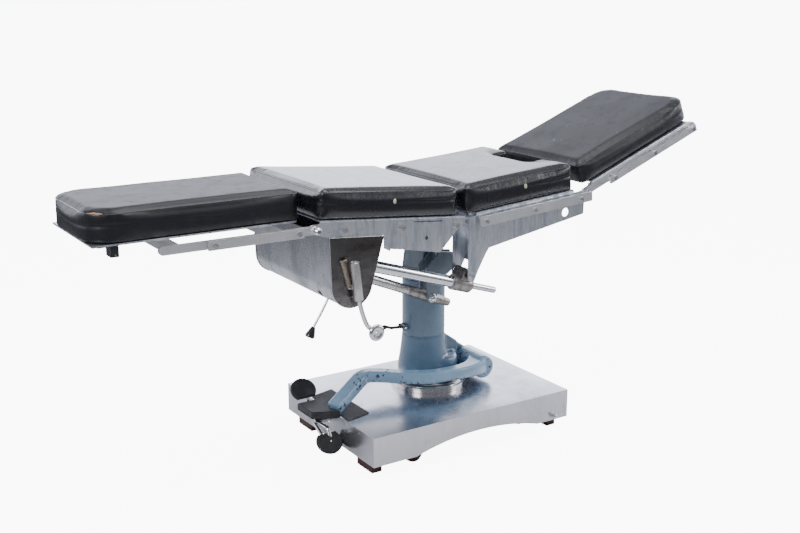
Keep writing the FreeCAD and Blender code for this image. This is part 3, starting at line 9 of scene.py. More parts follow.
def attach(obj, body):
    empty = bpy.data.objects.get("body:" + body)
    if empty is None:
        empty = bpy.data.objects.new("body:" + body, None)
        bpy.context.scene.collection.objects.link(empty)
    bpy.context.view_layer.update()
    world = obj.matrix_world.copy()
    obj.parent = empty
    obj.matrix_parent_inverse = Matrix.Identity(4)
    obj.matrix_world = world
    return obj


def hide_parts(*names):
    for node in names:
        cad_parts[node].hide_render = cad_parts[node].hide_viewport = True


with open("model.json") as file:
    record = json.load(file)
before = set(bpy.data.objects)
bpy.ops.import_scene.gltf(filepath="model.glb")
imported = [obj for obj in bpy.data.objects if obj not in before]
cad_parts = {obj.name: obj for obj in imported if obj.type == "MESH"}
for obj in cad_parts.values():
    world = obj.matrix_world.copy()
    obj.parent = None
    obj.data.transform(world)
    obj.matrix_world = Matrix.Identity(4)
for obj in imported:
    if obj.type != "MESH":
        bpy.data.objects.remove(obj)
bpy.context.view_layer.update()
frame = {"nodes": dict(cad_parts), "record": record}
bodies = frame["record"]["behaviour"]["bodies"]
bodyOf = {node: body for body, nodes in bodies.items() for node in nodes}
print("frame loaded:", len(frame["nodes"]), "nodes")

# Where each section stands in side view: x, z and the turn about Y in degrees
sections = {
    "back": (0.084, 0.690, 4.9),
    "seat": (0.080989, 0.771957, -4.4),
    "leg": (0.575551, 0.814926, -21),
    "head": (-0.463963, 0.811048, 0),
}


def sectionMatrix(name):
    x, z, turn = sections[name]
    return Matrix.Translation((x, 0, z)) @ Matrix.Rotation(math.radians(turn), 4, "Y")


def place(tree, kind, settings=None, feeds=None):
    node = tree.nodes.new(kind)
    for key, value in (settings or {}).items():
        setattr(node, key, value)
    for socket, value in (feeds or {}).items():
        if isinstance(value, bpy.types.NodeSocket):
            tree.links.new(value, node.inputs[socket])
        else:
            node.inputs[socket].default_value = value
    return node


def newGroup(name, inputs, outputs):
    group = bpy.data.node_groups.new(name, "ShaderNodeTree")
    for label, kind, value in inputs:
        socket = group.interface.new_socket(label, in_out="INPUT", socket_type=kind)
        if value is not None:
            socket.default_value = value
    for label, kind in outputs:
        group.interface.new_socket(label, in_out="OUTPUT", socket_type=kind)
    return group, group.nodes.new("NodeGroupInput").outputs, group.nodes.new("NodeGroupOutput").inputs


def brushedGroup():
    group, given, out = newGroup(
        "brushedGrain",
        [("Coord", "NodeSocketVector", None), ("Stretch", "NodeSocketVector", (1, 1, 1))],
        [("Height", "NodeSocketFloat")],
    )
    stretched = place(group, "ShaderNodeVectorMath", {"operation": "MULTIPLY"},
                      {0: given["Coord"], 1: given["Stretch"]})
    grain = place(group, "ShaderNodeTexNoise", None, {"Vector": stretched.outputs[0], "Scale": 1.0, "Detail": 4.0})
    group.links.new(grain.outputs["Fac"], out["Height"])
    return group


def blotchGroup():
    group, given, out = newGroup(
        "blotches",
        [("Coord", "NodeSocketVector", None), ("Scale", "NodeSocketFloat", 8.0),
         ("Low", "NodeSocketFloat", 0.45), ("High", "NodeSocketFloat", 0.65)],
        [("Mask", "NodeSocketFloat")],
    )
    cloud = place(group, "ShaderNodeTexNoise", None,
                  {"Vector": given["Coord"], "Scale": given["Scale"], "Detail": 6.0, "Roughness": 0.62})
    ranged = place(group, "ShaderNodeMapRange", None,
                   {"Value": cloud.outputs["Fac"], "From Min": given["Low"], "From Max": given["High"]})
    group.links.new(ranged.outputs[0], out["Mask"])
    return group


brushedGrain = brushedGroup()
blotches = blotchGroup()


def useGroup(tree, group, feeds):
    return place(tree, "ShaderNodeGroup", {"node_tree": group}, feeds).outputs[0]


def startMaterial(name):
    made = bpy.data.materials.new(name)
    made.use_nodes = True
    tree = made.node_tree
    shader = tree.nodes["Principled BSDF"]
    coord = place(tree, "ShaderNodeTexCoord").outputs["Object"]
    return made, tree, shader, coord


def tint(tree, mask, low, high):
    mixer = place(tree, "ShaderNodeMix", {"data_type": "RGBA"}, {0: mask})
    for socket, value in ((mixer.inputs[6], low), (mixer.inputs[7], high)):
        if isinstance(value, bpy.types.NodeSocket):
            tree.links.new(value, socket)
        else:
            socket.default_value = (*value, 1)
    return mixer.outputs[2]


def between(tree, mask, low, high):
    return place(tree, "ShaderNodeMapRange", None, {"Value": mask, "To Min": low, "To Max": high}).outputs[0]


def bumped(tree, shader, height, strength, distance):
    bump = place(tree, "ShaderNodeBump", None, {"Height": height, "Strength": strength, "Distance": distance})
    tree.links.new(bump.outputs[0], shader.inputs["Normal"])


def steel(name, bright, dull, stretch, rough, stain=(7.0, 0.46, 0.7), metallic=1.0, grain=0.12, stainRough=0.16,
          smear=(3.0, 3.0, 1.0)):
    made, tree, shader, coord = startMaterial(name)
    lines = useGroup(tree, brushedGrain, {"Coord": coord, "Stretch": stretch})
    drawn = place(tree, "ShaderNodeVectorMath", {"operation": "MULTIPLY"}, {0: coord, 1: smear}).outputs[0]
    marks = useGroup(tree, blotches, {"Coord": drawn, "Scale": stain[0], "Low": stain[1], "High": stain[2]})
    fine = useGroup(tree, blotches, {"Coord": coord, "Scale": stain[0] * 9, "Low": 0.55, "High": 0.75})
    both = place(tree, "ShaderNodeMath", {"operation": "MAXIMUM"}, {0: marks, 1: fine}).outputs[0]
    base = tint(tree, both, bright, dull)
    streaked = tint(tree, between(tree, lines, 0.0, 0.35), base, [c * 0.72 for c in bright])
    tree.links.new(streaked, shader.inputs["Base Color"])
    roughness = place(tree, "ShaderNodeMath", {"operation": "ADD"},
                      {0: between(tree, lines, rough - 0.05, rough + 0.08),
                       1: between(tree, both, 0.0, stainRough)}).outputs[0]
    tree.links.new(roughness, shader.inputs["Roughness"])
    shader.inputs["Metallic"].default_value = metallic
    bumped(tree, shader, lines, grain, 0.0004)
    return made


def paint(name, colour, chipColour, rough=0.28, chips=(90.0, 0.66, 0.68), tone=0.82, coat=0.6):
    made, tree, shader, coord = startMaterial(name)
    cloud = useGroup(tree, blotches, {"Coord": coord, "Scale": 9.0, "Low": 0.35, "High": 0.7})
    chipped = useGroup(tree, blotches, {"Coord": coord, "Scale": chips[0], "Low": chips[1], "High": chips[2]})
    near = useGroup(tree, blotches, {"Coord": coord, "Scale": 11.0, "Low": 0.5, "High": 0.56})
    mask = place(tree, "ShaderNodeMath", {"operation": "MULTIPLY"}, {0: chipped, 1: near}).outputs[0]
    body = tint(tree, cloud, colour, [c * tone for c in colour])
    tree.links.new(tint(tree, mask, body, chipColour), shader.inputs["Base Color"])
    tree.links.new(between(tree, mask, rough, 0.75), shader.inputs["Roughness"])
    tree.links.new(between(tree, mask, coat, 0.0), shader.inputs["Coat Weight"])
    shader.inputs["Coat Roughness"].default_value = 0.12
    peel = useGroup(tree, brushedGrain, {"Coord": coord, "Stretch": (260, 260, 260)})
    depth = place(tree, "ShaderNodeMath", {"operation": "SUBTRACT"}, {0: peel, 1: mask}).outputs[0]
    bumped(tree, shader, depth, 0.12, 0.0006)
    return made


def rubber(name, colour, rough=0.55, specks=True):
    made, tree, shader, coord = startMaterial(name)
    dust = useGroup(tree, blotches, {"Coord": coord, "Scale": 22.0, "Low": 0.5, "High": 0.78})
    tree.links.new(tint(tree, dust, colour, [min(1, c * 1.8 + 0.03) for c in colour]), shader.inputs["Base Color"])
    tree.links.new(between(tree, dust, rough, min(1, rough + 0.25)), shader.inputs["Roughness"])
    grit = useGroup(tree, brushedGrain, {"Coord": coord, "Stretch": (900, 900, 900)})
    bumped(tree, shader, grit, 0.25 if specks else 0.1, 0.0005)
    return made


def vinyl(name, colour, rough, coat, specks=0.0, tear=None):
    made, tree, shader, coord = startMaterial(name)
    cloud = useGroup(tree, blotches, {"Coord": coord, "Scale": 5.0, "Low": 0.3, "High": 0.75})
    smears = useGroup(tree, blotches, {"Coord": coord, "Scale": 26.0, "Low": 0.5, "High": 0.8})
    base = tint(tree, cloud, colour, [c * 1.5 + 0.002 for c in colour])
    roughness = between(tree, smears, rough, rough + 0.12)
    pores = place(tree, "ShaderNodeTexVoronoi", {"feature": "F1"}, {"Vector": coord, "Scale": 620.0})
    grain = pores.outputs["Distance"]
    if specks:
        spots = useGroup(tree, blotches, {"Coord": coord, "Scale": 70.0, "Low": specks, "High": specks + 0.02})
        base = tint(tree, spots, base, (0.62, 0.6, 0.57))
    if tear:
        away = place(tree, "ShaderNodeVectorMath", {"operation": "SUBTRACT"}, {0: coord, 1: tear["at"]})
        scaled = place(tree, "ShaderNodeVectorMath", {"operation": "DIVIDE"}, {0: away.outputs[0], 1: tear["reach"]})
        far = place(tree, "ShaderNodeVectorMath", {"operation": "LENGTH"}, {0: scaled.outputs[0]}).outputs["Value"]
        ragged = place(tree, "ShaderNodeTexNoise", None, {"Vector": coord, "Scale": 95.0, "Detail": 5.0})
        edge = place(tree, "ShaderNodeMath", {"operation": "ADD"}, {0: far, 1: ragged.outputs["Fac"]}).outputs[0]
        open_ = place(tree, "ShaderNodeMapRange", None, {"Value": edge, "From Min": 1.42, "From Max": 1.3}).outputs[0]
        cloth = tint(tree, ragged.outputs["Fac"], (0.42, 0.2, 0.09), (0.75, 0.5, 0.3))
        base = tint(tree, open_, base, cloth)
        roughness = place(tree, "ShaderNodeMath", {"operation": "MAXIMUM"},
                          {0: roughness, 1: between(tree, open_, 0.0, 0.95)}).outputs[0]
        coatMask = between(tree, open_, coat, 0.0)
        tree.links.new(coatMask, shader.inputs["Coat Weight"])
    else:
        shader.inputs["Coat Weight"].default_value = coat
    tree.links.new(base, shader.inputs["Base Color"])
    tree.links.new(roughness, shader.inputs["Roughness"])
    shader.inputs["Coat Roughness"].default_value = 0.18
    bumped(tree, shader, grain, 0.16, 0.0005)
    return made


materials = {
    "frame": steel("frameSteel", (0.93, 0.96, 1.0), (0.42, 0.46, 0.54), (420, 420, 10), 0.3, (4.0, 0.42, 0.62),
                   smear=(8.0, 8.0, 1.3), stainRough=0.1),
    "rail": steel("railSteel", (0.98, 0.98, 1.0), (0.76, 0.77, 0.81), (10, 500, 800), 0.36, (9.0, 0.55, 0.8)),
    "trough": steel("troughSteel", (0.62, 0.64, 0.68), (0.26, 0.27, 0.3), (500, 12, 500), 0.2, (3.0, 0.4, 0.66)),
    # Painted reflection: the end plates' steel is coloured dark to stand in for the dark room they reflect
    "mirrorPaintedDark": steel("endPlatePaintedDarkReflection", (0.3, 0.29, 0.29), (0.08, 0.065, 0.06), (60, 60, 60), 0.1, (5.0, 0.4, 0.62),
                    grain=0.04, smear=(1.0, 1.0, 2.4)),
    # Painted highlight: a bright copy of the end plates' steel for their bevelled edges, standing in for light caught
    # on the edge
    "rim": steel("rimPaintedHighlight", (0.95, 0.95, 0.96), (0.8, 0.8, 0.8), (90, 90, 90), 0.3, grain=0.02),
    "base": steel("baseSteel", (0.8, 0.79, 0.84), (0.62, 0.61, 0.66), (10, 420, 420), 0.2, (2.5, 0.46, 0.72),
                  grain=0.07, stainRough=0.1),
    "dish": steel("dishSteel", (0.66, 0.64, 0.62), (0.36, 0.33, 0.3), (60, 60, 420), 0.09, (8.0, 0.5, 0.75),
                  grain=0.05),
    "chrome": steel("chromePlate", (0.86, 0.87, 0.9), (0.62, 0.6, 0.58), (160, 160, 160), 0.1, (16.0, 0.6, 0.8),
                    grain=0.03),
    "satin": steel("satinSleeve", (0.62, 0.62, 0.62), (0.36, 0.34, 0.32), (30, 30, 600), 0.26, (12.0, 0.5, 0.7)),
    "rusty": steel("rustyBlock", (0.42, 0.4, 0.38), (0.2, 0.15, 0.12), (120, 120, 120), 0.36, (16.0, 0.48, 0.7)),
    "bronze": steel("barrelSteel", (0.3, 0.26, 0.22), (0.13, 0.1, 0.08), (40, 40, 300), 0.26, (14.0, 0.46, 0.7)),
    "zinc": steel("zincScrew", (0.72, 0.72, 0.74), (0.36, 0.34, 0.32), (300, 300, 300), 0.26, (60.0, 0.5, 0.7)),
    "casting": paint("headCasting", (0.2, 0.25, 0.3), (0.2, 0.17, 0.15), 0.35, coat=0.3),
    "column": paint("columnPaint", (0.115, 0.205, 0.315), (0.25, 0.22, 0.2), 0.2, (120.0, 0.68, 0.7), coat=0.9),
    # Painted light: the lever wears a lighter copy of the column's blue paint, standing in for light falling on its
    # upper faces
    "lever": paint("leverPaintLitCopy", (0.235, 0.4, 0.58), (0.035, 0.02, 0.015), 0.26, (75.0, 0.57, 0.585), coat=0.7),
    "chassis": paint("chassisPaint", (0.06, 0.06, 0.065), (0.18, 0.16, 0.14), 0.5, coat=0.1),
    "barrel": paint("barrelPaint", (0.02, 0.02, 0.024), (0.2, 0.2, 0.2), 0.3, coat=0.5),
    "redBrown": paint("castorPaint", (0.09, 0.02, 0.016), (0.2, 0.16, 0.14), 0.4, coat=0.3),
    "plastic": paint("blackPlastic", (0.012, 0.012, 0.013), (0.1, 0.1, 0.1), 0.2, (200.0, 0.72, 0.74), coat=0.8),
    "rubber": rubber("blackRubber", (0.014, 0.014, 0.016)),
    "mat": rubber("matRubber", (0.06, 0.06, 0.064), 0.7),
    "tread": rubber("treadRubber", (0.05, 0.05, 0.054), 0.62),
    "foot": rubber("footRubber", (0.05, 0.016, 0.013)),
    "cream": rubber("creamButton", (0.62, 0.56, 0.42), 0.35, False),
    "headVinyl": vinyl("headVinyl", (0.006, 0.006, 0.009), 0.4, 0.0,
                       tear={"at": (-1.0745, -0.1625, 0.9105), "reach": (0.030, 0.030, 0.0042)}),
    "backVinyl": vinyl("backVinyl", (0.008, 0.008, 0.011), 0.24, 0.75),
    "seatVinyl": vinyl("seatVinyl", (0.008, 0.008, 0.011), 0.27, 0.55),
    "legVinyl": vinyl("legVinyl", (0.006, 0.006, 0.009), 0.4, 0.12, 0.7),
    "weltVinyl": vinyl("weltVinyl", (0.03, 0.03, 0.034), 0.25, 0.8),
}
print("materials made:", len(materials))


def finishPiece(name, bm, body, material, smooth=32):
    mesh = bpy.data.meshes.new(name)
    bm.to_mesh(mesh)
    bm.free()
    piece = bpy.data.objects.new(name, mesh)
    bpy.context.scene.collection.objects.link(piece)
    mesh.materials.append(materials[material])
    mesh.shade_smooth()
    if smooth:
        mesh.set_sharp_from_angle(angle=math.radians(smooth))
    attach(piece, body)
    return piece


def mergedCopy(node):
    bm = bmesh.new()
    bm.from_mesh(frame["nodes"][node].data)
    bmesh.ops.remove_doubles(bm, verts=bm.verts, dist=2e-6)
    bmesh.ops.dissolve_limit(bm, angle_limit=math.radians(0.6), verts=bm.verts, edges=bm.edges)
    return bm


def softened(node, material, width=0.0008, second=None, rim=None, segments=2, fromAngle=38):
    bm = mergedCopy(node)
    sharp = [e for e in bm.edges if len(e.link_faces) == 2
             and math.degrees(e.calc_face_angle(0)) > fromAngle and e.is_convex]
    bevelled = bmesh.ops.bevel(bm, geom=sharp, offset=width, offset_type="OFFSET", affect="EDGES",
                               segments=segments, profile=0.5, material=-1, clamp_overlap=True)["faces"]
    # Bevel faces take the second finish; on the end plates that is a painted highlight
    if rim:
        for face in bevelled:
            face.material_index = 1
    if second:
        for face in bm.faces:
            face.material_index = 1 if second[1](face.calc_center_median()) else 0
    piece = finishPiece(node + "_shown", bm, bodyOf[node], material, 34)
    if second or rim:
        piece.data.materials.append(materials[rim or second[0]])
    weighted = piece.modifiers.new("weighted", "WEIGHTED_NORMAL")
    weighted.keep_sharp = True
    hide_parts(node)
    return piece


def repaint(node, material):
    piece = frame["nodes"][node]
    piece.data.materials.clear()
    piece.data.materials.append(materials[material])


# The jacks in side view: where each screw starts, its turn, and where its casting begins along it
jacks = {
    "flex_nut": {"at": (-0.387124, 0.708710), "turn": 17.4642, "casting": 0.4612},
    "tilt_nut": {"at": (-0.340040, 0.654992), "turn": 22.6384, "casting": 0.3150},
}


def pastCasting(jack):
    turn = math.radians(jack["turn"])
    x, z = jack["at"]
    return lambda p: (p.x - x) * math.cos(turn) - (p.z - z) * math.sin(turn) > jack["casting"]


twoFinishes = {node: ("rusty", pastCasting(jack)) for node, jack in jacks.items()}
# Painted highlight: the bevelled edges of the end plates wear a bright steel, against the painted dark reflection on
# their faces
rims = {"gear_end_plates": "rim"}
# Which finish each node wears; nodes with a width get their edges eased as well
finishes = {
    "base_cover": ("base", 0.003), "column_flange_ring": ("dish", 0.0008),
    "chassis_frame": ("chassis", 0), "floor_feet": ("foot", 0.002), "footplate_mat": ("mat", 0.0008),
    "base_pins": ("chrome", 0.001), "rocker_arms": ("chrome", 0.001),
    "release_lever": ("barrel", 0.0008), "release_grip": ("plastic", 0.003), "ball_knob": ("chrome", 0.0006),
    "ram": ("chrome", 0), "column_head": ("casting", 0.002),
    "back_side_plates": ("frame", 0.0006), "back_deck": ("frame", 0), "back_rail_fasteners": ("zinc", 0.0007),
    # the end plates carry a painted dark reflection, their bevelled edges a painted highlight
    "tilt_saddle": ("casting", 0.0015), "gear_trough": ("trough", 0.0006), "gear_end_plates": ("mirrorPaintedDark", 0.0012),
    "back_pins": ("chrome", 0.0008),
    "head_bars": ("rail", 0.001), "head_latch": ("barrel", 0.001), "head_deck": ("frame", 0),
    "head_rails": ("rail", 0.001), "head_rail_fasteners": ("zinc", 0.0007),
    "seat_side_plates": ("frame", 0.0006), "seat_jack_cheek": ("frame", 0.0006), "seat_deck": ("frame", 0),
    "seat_rails": ("rail", 0.001), "seat_rail_fasteners": ("zinc", 0.0007), "jack_studs": ("zinc", 0.0007),
    "seat_hinge_pins": ("chrome", 0.0008),
    "leg_bars": ("rail", 0.001), "leg_deck": ("frame", 0), "leg_rails": ("rail", 0.001),
    "leg_rail_fasteners": ("zinc", 0.0007),
    "flex_screw": ("chrome", 0.0008), "flex_nut": ("chrome", 0.001), "tilt_screw": ("chrome", 0.0008),
    "tilt_nut": ("satin", 0.001),
}
for number in (1, 2, 3, 4):
    finishes["castor_fork_%d" % number] = ("redBrown", 0.0008)
    finishes["castor_wheel_%d" % number] = ("foot", 0.001)
for node, (material, width) in finishes.items():
    if width:
        softened(node, material, width, twoFinishes.get(node), rims.get(node))
    else:
        repaint(node, material)
print("frame dressed:", len(finishes), "nodes")


def rodPiece(name, points, radius, body, material):
    curve = bpy.data.curves.new(name, "CURVE")
    curve.dimensions = "3D"
    curve.bevel_depth = radius
    curve.bevel_resolution = 5
    curve.use_fill_caps = True
    spline = curve.splines.new("NURBS")
    spline.points.add(len(points) - 1)
    for target, point in zip(spline.points, points):
        target.co = (*point, 1)
    spline.order_u = 3
    spline.use_endpoint_u = True
    spline.resolution_u = 8
    carrier = bpy.data.objects.new(name + "Line", curve)
    bpy.context.scene.collection.objects.link(carrier)
    bpy.context.view_layer.update()
    mesh = bpy.data.meshes.new_from_object(carrier.evaluated_get(bpy.context.evaluated_depsgraph_get()))
    bpy.data.objects.remove(carrier)
    bm = bmesh.new()
    bm.from_mesh(mesh)
    bpy.data.meshes.remove(mesh)
    bmesh.ops.remove_doubles(bm, verts=bm.verts, dist=1e-6)
    bmesh.ops.recalc_face_normals(bm, faces=bm.faces)
    return finishPiece(name, bm, body, material, 50)


# Selector: a thin bright rod from its hub to a black cone knob
selector = {"at": (-0.343747, 0.629315), "y": -0.160, "knob": (-0.088, -0.155), "rod": 0.0042}


def lathe(bm, profile, segments, turnTo):
    old = set(bm.verts)
    made = [bm.verts.new((r, 0, z)) for r, z in profile]
    edges = [bm.edges.new(pair) for pair in zip(made, made[1:])]
    bmesh.ops.spin(bm, geom=made + edges, cent=(0, 0, 0), axis=(0, 0, 1), angle=math.tau, steps=segments,
                   use_merge=True)
    new = [v for v in bm.verts if v not in old]
    bmesh.ops.remove_doubles(bm, verts=new, dist=1e-6)
    new = [v for v in bm.verts if v not in old]
    bmesh.ops.recalc_face_normals(bm, faces=list({f for v in new for f in v.link_faces}))
    bmesh.ops.transform(bm, matrix=turnTo, verts=new)


def turned(name, profile, segments, body, material, turnTo):
    bm = bmesh.new()
    lathe(bm, profile, segments, turnTo)
    return finishPiece(name, bm, body, material, 40)


# A bar of rounded section along its stops, each with its own share of width and height
def swept(bm, stops, width, height, corner):
    start = bmesh.ops.create_grid(bm, x_segments=1, y_segments=1, size=0.5)["verts"]
    bmesh.ops.scale(bm, vec=(width, height, 1), verts=start)
    bmesh.ops.bevel(bm, geom=start, offset=corner, offset_type="OFFSET", affect="VERTICES", segments=4,
                    profile=0.5, material=-1)
    end = next(f for f in bm.faces if len(f.verts) > 4)
    last = Matrix()
    for index, (point, wide, tall) in enumerate(stops):
        before, after = stops[max(0, index - 1)][0], stops[min(len(stops) - 1, index + 1)][0]
        way = (Vector(after) - Vector(before)).normalized()
        side = way.cross(Vector((0, 0, 1))).normalized()
        turn = Matrix((side, side.cross(way), way)).transposed().to_4x4()
        now = Matrix.Translation(point) @ turn @ Matrix.Diagonal((wide, tall, 1, 1))
        if index:
            grown = bmesh.ops.extrude_face_region(bm, geom=[end])["geom"]
            end = next(g for g in grown if isinstance(g, bmesh.types.BMFace))
        bmesh.ops.transform(bm, matrix=now @ last.inverted(), verts=end.verts)
        last = now


def eased(stops, steps):
    rows = [Vector((*point, wide, tall)) for point, wide, tall in stops]
    out = []
    for index in range(len(rows) - 1):
        a, b, c, d = (rows[max(0, min(len(rows) - 1, index + shift))] for shift in (-1, 0, 1, 2))
        for step in range(steps):
            t = step / steps
            row = 0.5 * (2 * b + (c - a) * t + (2 * a - 5 * b + 4 * c - d) * t ** 2 + (3 * b - a - 3 * c + d) * t ** 3)
            out.append((tuple(row[:3]), row[3], row[4]))
    out.append((tuple(rows[-1][:3]), rows[-1][3], rows[-1][4]))
    return out


# One smooth skin over several shapes that overlap
def castSkin(name, bm, voxel, rounds, body, material):
    mesh = bpy.data.meshes.new(name)
    bm.to_mesh(mesh)
    bm.free()
    shapes = bpy.data.objects.new(name + "Shapes", mesh)
    bpy.context.scene.collection.objects.link(shapes)
    remesh = shapes.modifiers.new("remesh", "REMESH")
    remesh.mode = "VOXEL"
    remesh.voxel_size = voxel
    applyModifiers(shapes)
    bm = bmesh.new()
    bm.from_mesh(shapes.data)
    skin = shapes.data
    bpy.data.objects.remove(shapes)
    bpy.data.meshes.remove(skin)
    for _ in range(rounds):
        bmesh.ops.smooth_vert(bm, verts=bm.verts, factor=0.5, use_axis_x=True, use_axis_y=True, use_axis_z=True)
    return finishPiece(name, bm, body, material, 0)


def applyModifiers(piece):
    graph = bpy.context.evaluated_depsgraph_get()
    baked = bpy.data.meshes.new_from_object(piece.evaluated_get(graph))
    piece.modifiers.clear()
    old = piece.data
    piece.data = baked
    bpy.data.meshes.remove(old)


def aimed(at, way):
    return Matrix.Translation(at) @ Vector((0, 0, 1)).rotation_difference(Vector(way)).to_matrix().to_4x4()


sx, sz = selector["at"]
rod = rodPiece("selector_rod", [
    (sx, selector["y"], sz), (sx - 0.030, selector["y"], sz - 0.062), (sx - 0.058, selector["y"], sz - 0.108),
    (sx - 0.080, selector["y"], sz - 0.140)], selector["rod"], "selector", "chrome")
turned("selector_hub", [(0, -0.012), (0.0145, -0.012), (0.016, -0.0105), (0.016, 0.0105), (0.0145, 0.012),
                        (0, 0.012)], 40, "selector", "zinc", aimed((sx, selector["y"], sz), (0, 1, 0)))
kx, kz = selector["knob"]
turned("selector_knob", [(0, -0.020), (0.012, -0.019), (0.0155, -0.0155), (0.0150, -0.010), (0.0075, 0.012),
                         (0.0062, 0.016), (0, 0.017)], 40, "selector", "plastic",
       aimed((sx + kx, selector["y"], sz + kz), (0.45, 0, 0.9)))
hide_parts("selector_lever")

# Crank knob: a polished wheel with a dished face and a bore at its centre
knobAt = {"x": -0.351718 + 0.066, "z": 0.629998 - 0.146, "inner": -0.2918, "outer": -0.3068, "radius": 0.0265}
r, y0, y1 = knobAt["radius"], knobAt["outer"], knobAt["inner"]
wheel = turned("crank_knob_wheel", [
    (0.0052, 0), (r * 0.62, 0), (r * 0.86, 0.0016), (r * 0.97, 0.0045), (r, 0.0075), (r * 0.97, 0.0105),
    (r * 0.86, 0.0134), (r * 0.66, 0.015), (r * 0.5, 0.0138), (r * 0.42, 0.0128), (0.0095, 0.0128),
    (0.0052, 0.0128), (0.0052, 0)], 64, "crank_knob", "chrome",
    aimed((knobAt["x"], y1, knobAt["z"]), (0, -1, 0)))
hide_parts("crank_knob")

# Crank: a satin sleeve, a bright bent rod and the stub of its shaft
crank = {"y": -0.2855, "top": (-0.3526, 0.7086), "foot": (-0.3377, 0.5875), "sleeve": 0.0145, "rod": 0.0072,
         "shaft": (-0.351718, 0.629998), "stub": 0.008, "plate": -0.2578,
         "route": ((-0.3385, 0.595), (-0.3335, 0.570), (-0.3245, 0.540), (-0.3150, 0.514), (-0.3050, 0.500),
                   (-0.2880, 0.486))}
(tx, tz), (bx, bz) = crank["top"], crank["foot"]
run = math.hypot(tx - bx, tz - bz)
r = crank["sleeve"]
turned("crank_sleeve", [(0, 0), (r * 0.7, 0), (r * 0.92, 0.003), (r, 0.006), (r, run - 0.0012), (r - 0.0012, run),
                        (r * 0.72, run), (r * 0.66, run - 0.0035), (0, run - 0.0035)], 48, "crank", "satin",
       aimed((bx, crank["y"], bz), (tx - bx, 0, tz - bz)))
crankRod = rodPiece("crank_rod", [(x, crank["y"], z) for x, z in crank["route"]], crank["rod"], "crank", "chrome")
turned("crank_stub", [(0, 0), (0.011, 0), (0.011, 0.003), (crank["stub"], 0.0045), (crank["stub"], 0.022), (0, 0.022)],
       32, "crank", "zinc", aimed((crank["shaft"][0], crank["plate"], crank["shaft"][1]), (0, -1, 0)))
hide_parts("crank_arm")

# The worn barrel beside the crank on the near end plate
barrel = {"y": -0.2575, "top": (-0.3754, 0.7143), "foot": (-0.3511, 0.6271), "radius": 0.0135}
(tx, tz), (bx, bz) = barrel["top"], barrel["foot"]
run = math.hypot(tx - bx, tz - bz)
r = barrel["radius"]
worn = turned("crank_barrel_shown", [(0, 0), (r - 0.002, 0), (r, 0.002), (r, run - 0.0015), (r - 0.0015, run),
                                     (r * 0.75, run), (r * 0.7, run - 0.002), (0, run - 0.002)], 40, "back_section",
              "bronze", aimed((bx, barrel["y"], bz), (tx - bx, 0, tz - bz)))
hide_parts("crank_barrel")

# Domed stud of the tilt jack on the near fork ear
stud = {"at": (0.034, -0.1262, 0.499), "washer": 0.0145, "dome": 0.0115}
w, d = stud["washer"], stud["dome"]
turned("tilt_stud", [(0, 0), (w, 0), (w, 0.0025), (w * 0.9, 0.0035), (d, 0.0038), (d * 0.98, 0.0075), (d * 0.8, 0.0115),
                     (d * 0.45, 0.0138), (0, 0.0146)], 40, "lift_head", "chrome", aimed(stud["at"], (0, -1, 0)))

# Column: a turned shell over a cast boot with its ledge, nose and lug
column = {"x": 0.084, "bore": 0.0502, "radius": 0.0725, "low": 0.345, "high": 0.540, "edge": 0.003, "voxel": 0.004,
          "smoothing": 9, "boot": ((0, 0.158), (0.084, 0.158), (0.089, 0.170), (0.0895, 0.200), (0.087, 0.232),
                                   (0.082, 0.262), (0.0775, 0.295), (0.0742, 0.325), (0.0732, 0.340),
                                   (0.0716, 0.352), (0, 0.352))}
r, edge, bore, low, high = (column[key] for key in ("radius", "edge", "bore", "low", "high"))
onAxis = Matrix.Translation((column["x"], 0, 0))
shell = turned("column_shell", [(bore, low), (bore, high), (r - edge, high), (r, high - edge), (r, low), (bore, low)],
               96, "base", "column", onAxis)
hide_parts("column_casting")
bm = bmesh.new()
lathe(bm, column["boot"], 96, onAxis)
ledge = {"at": (0.130, -0.020), "radius": 0.068, "low": 0.160, "high": 0.262, "round": 0.012}
made = bmesh.ops.create_cone(bm, cap_ends=True, segments=64, radius1=ledge["radius"], radius2=ledge["radius"],
                             depth=ledge["high"] - ledge["low"])["verts"]
bmesh.ops.translate(bm, vec=(*ledge["at"], (ledge["high"] + ledge["low"]) / 2), verts=made)
rim = [e for v in made for e in v.link_edges if all(abs(w.co.z - ledge["high"]) < 1e-5 for w in e.verts)]
bmesh.ops.bevel(bm, geom=list(set(rim)), offset=ledge["round"], offset_type="OFFSET", affect="EDGES", segments=4,
                profile=0.5, material=-1)
webs = [
    ((0.0265, 0.060), ((0.110, 0.310), (0.165, 0.326), (0.272, 0.2515), (0.301, 0.232), (0.306, 0.200), (0.290, 0.174),
                       (0.258, 0.170), (0.180, 0.190), (0.110, 0.190))),
    ((-0.024, 0.056), ((0.110, 0.345), (0.156, 0.332), (0.214, 0.291), (0.214, 0.190), (0.110, 0.190))),
]
for (y0, y1), outline in webs:
    face = bm.faces.new([bm.verts.new((x, y0, z)) for x, z in outline])
    grown = bmesh.ops.extrude_face_region(bm, geom=[face])["geom"]
    bmesh.ops.translate(bm, vec=(0, y1 - y0, 0), verts=[g for g in grown if isinstance(g, bmesh.types.BMVert)])
bmesh.ops.recalc_face_normals(bm, faces=bm.faces)
castSkin("column_boot", bm, column["voxel"], column["smoothing"], "base", "column")
ears = {"size": (0.034, 0.004, 0.018), "x": 0.0085, "side": 0.0143, "z": 0.372, "edge": 0.0012}
bm = bmesh.new()
for y in (ears["side"], -ears["side"]):
    made = bmesh.ops.create_cube(bm, size=1)["verts"]
    bmesh.ops.scale(bm, vec=ears["size"], verts=made)
    bmesh.ops.translate(bm, vec=(ears["x"], y, ears["z"]), verts=made)
bmesh.ops.bevel(bm, geom=bm.edges[:], offset=ears["edge"], offset_type="OFFSET", affect="EDGES", segments=2,
                profile=0.5, material=-1)
finishPiece("release_ears", bm, "base", "column")

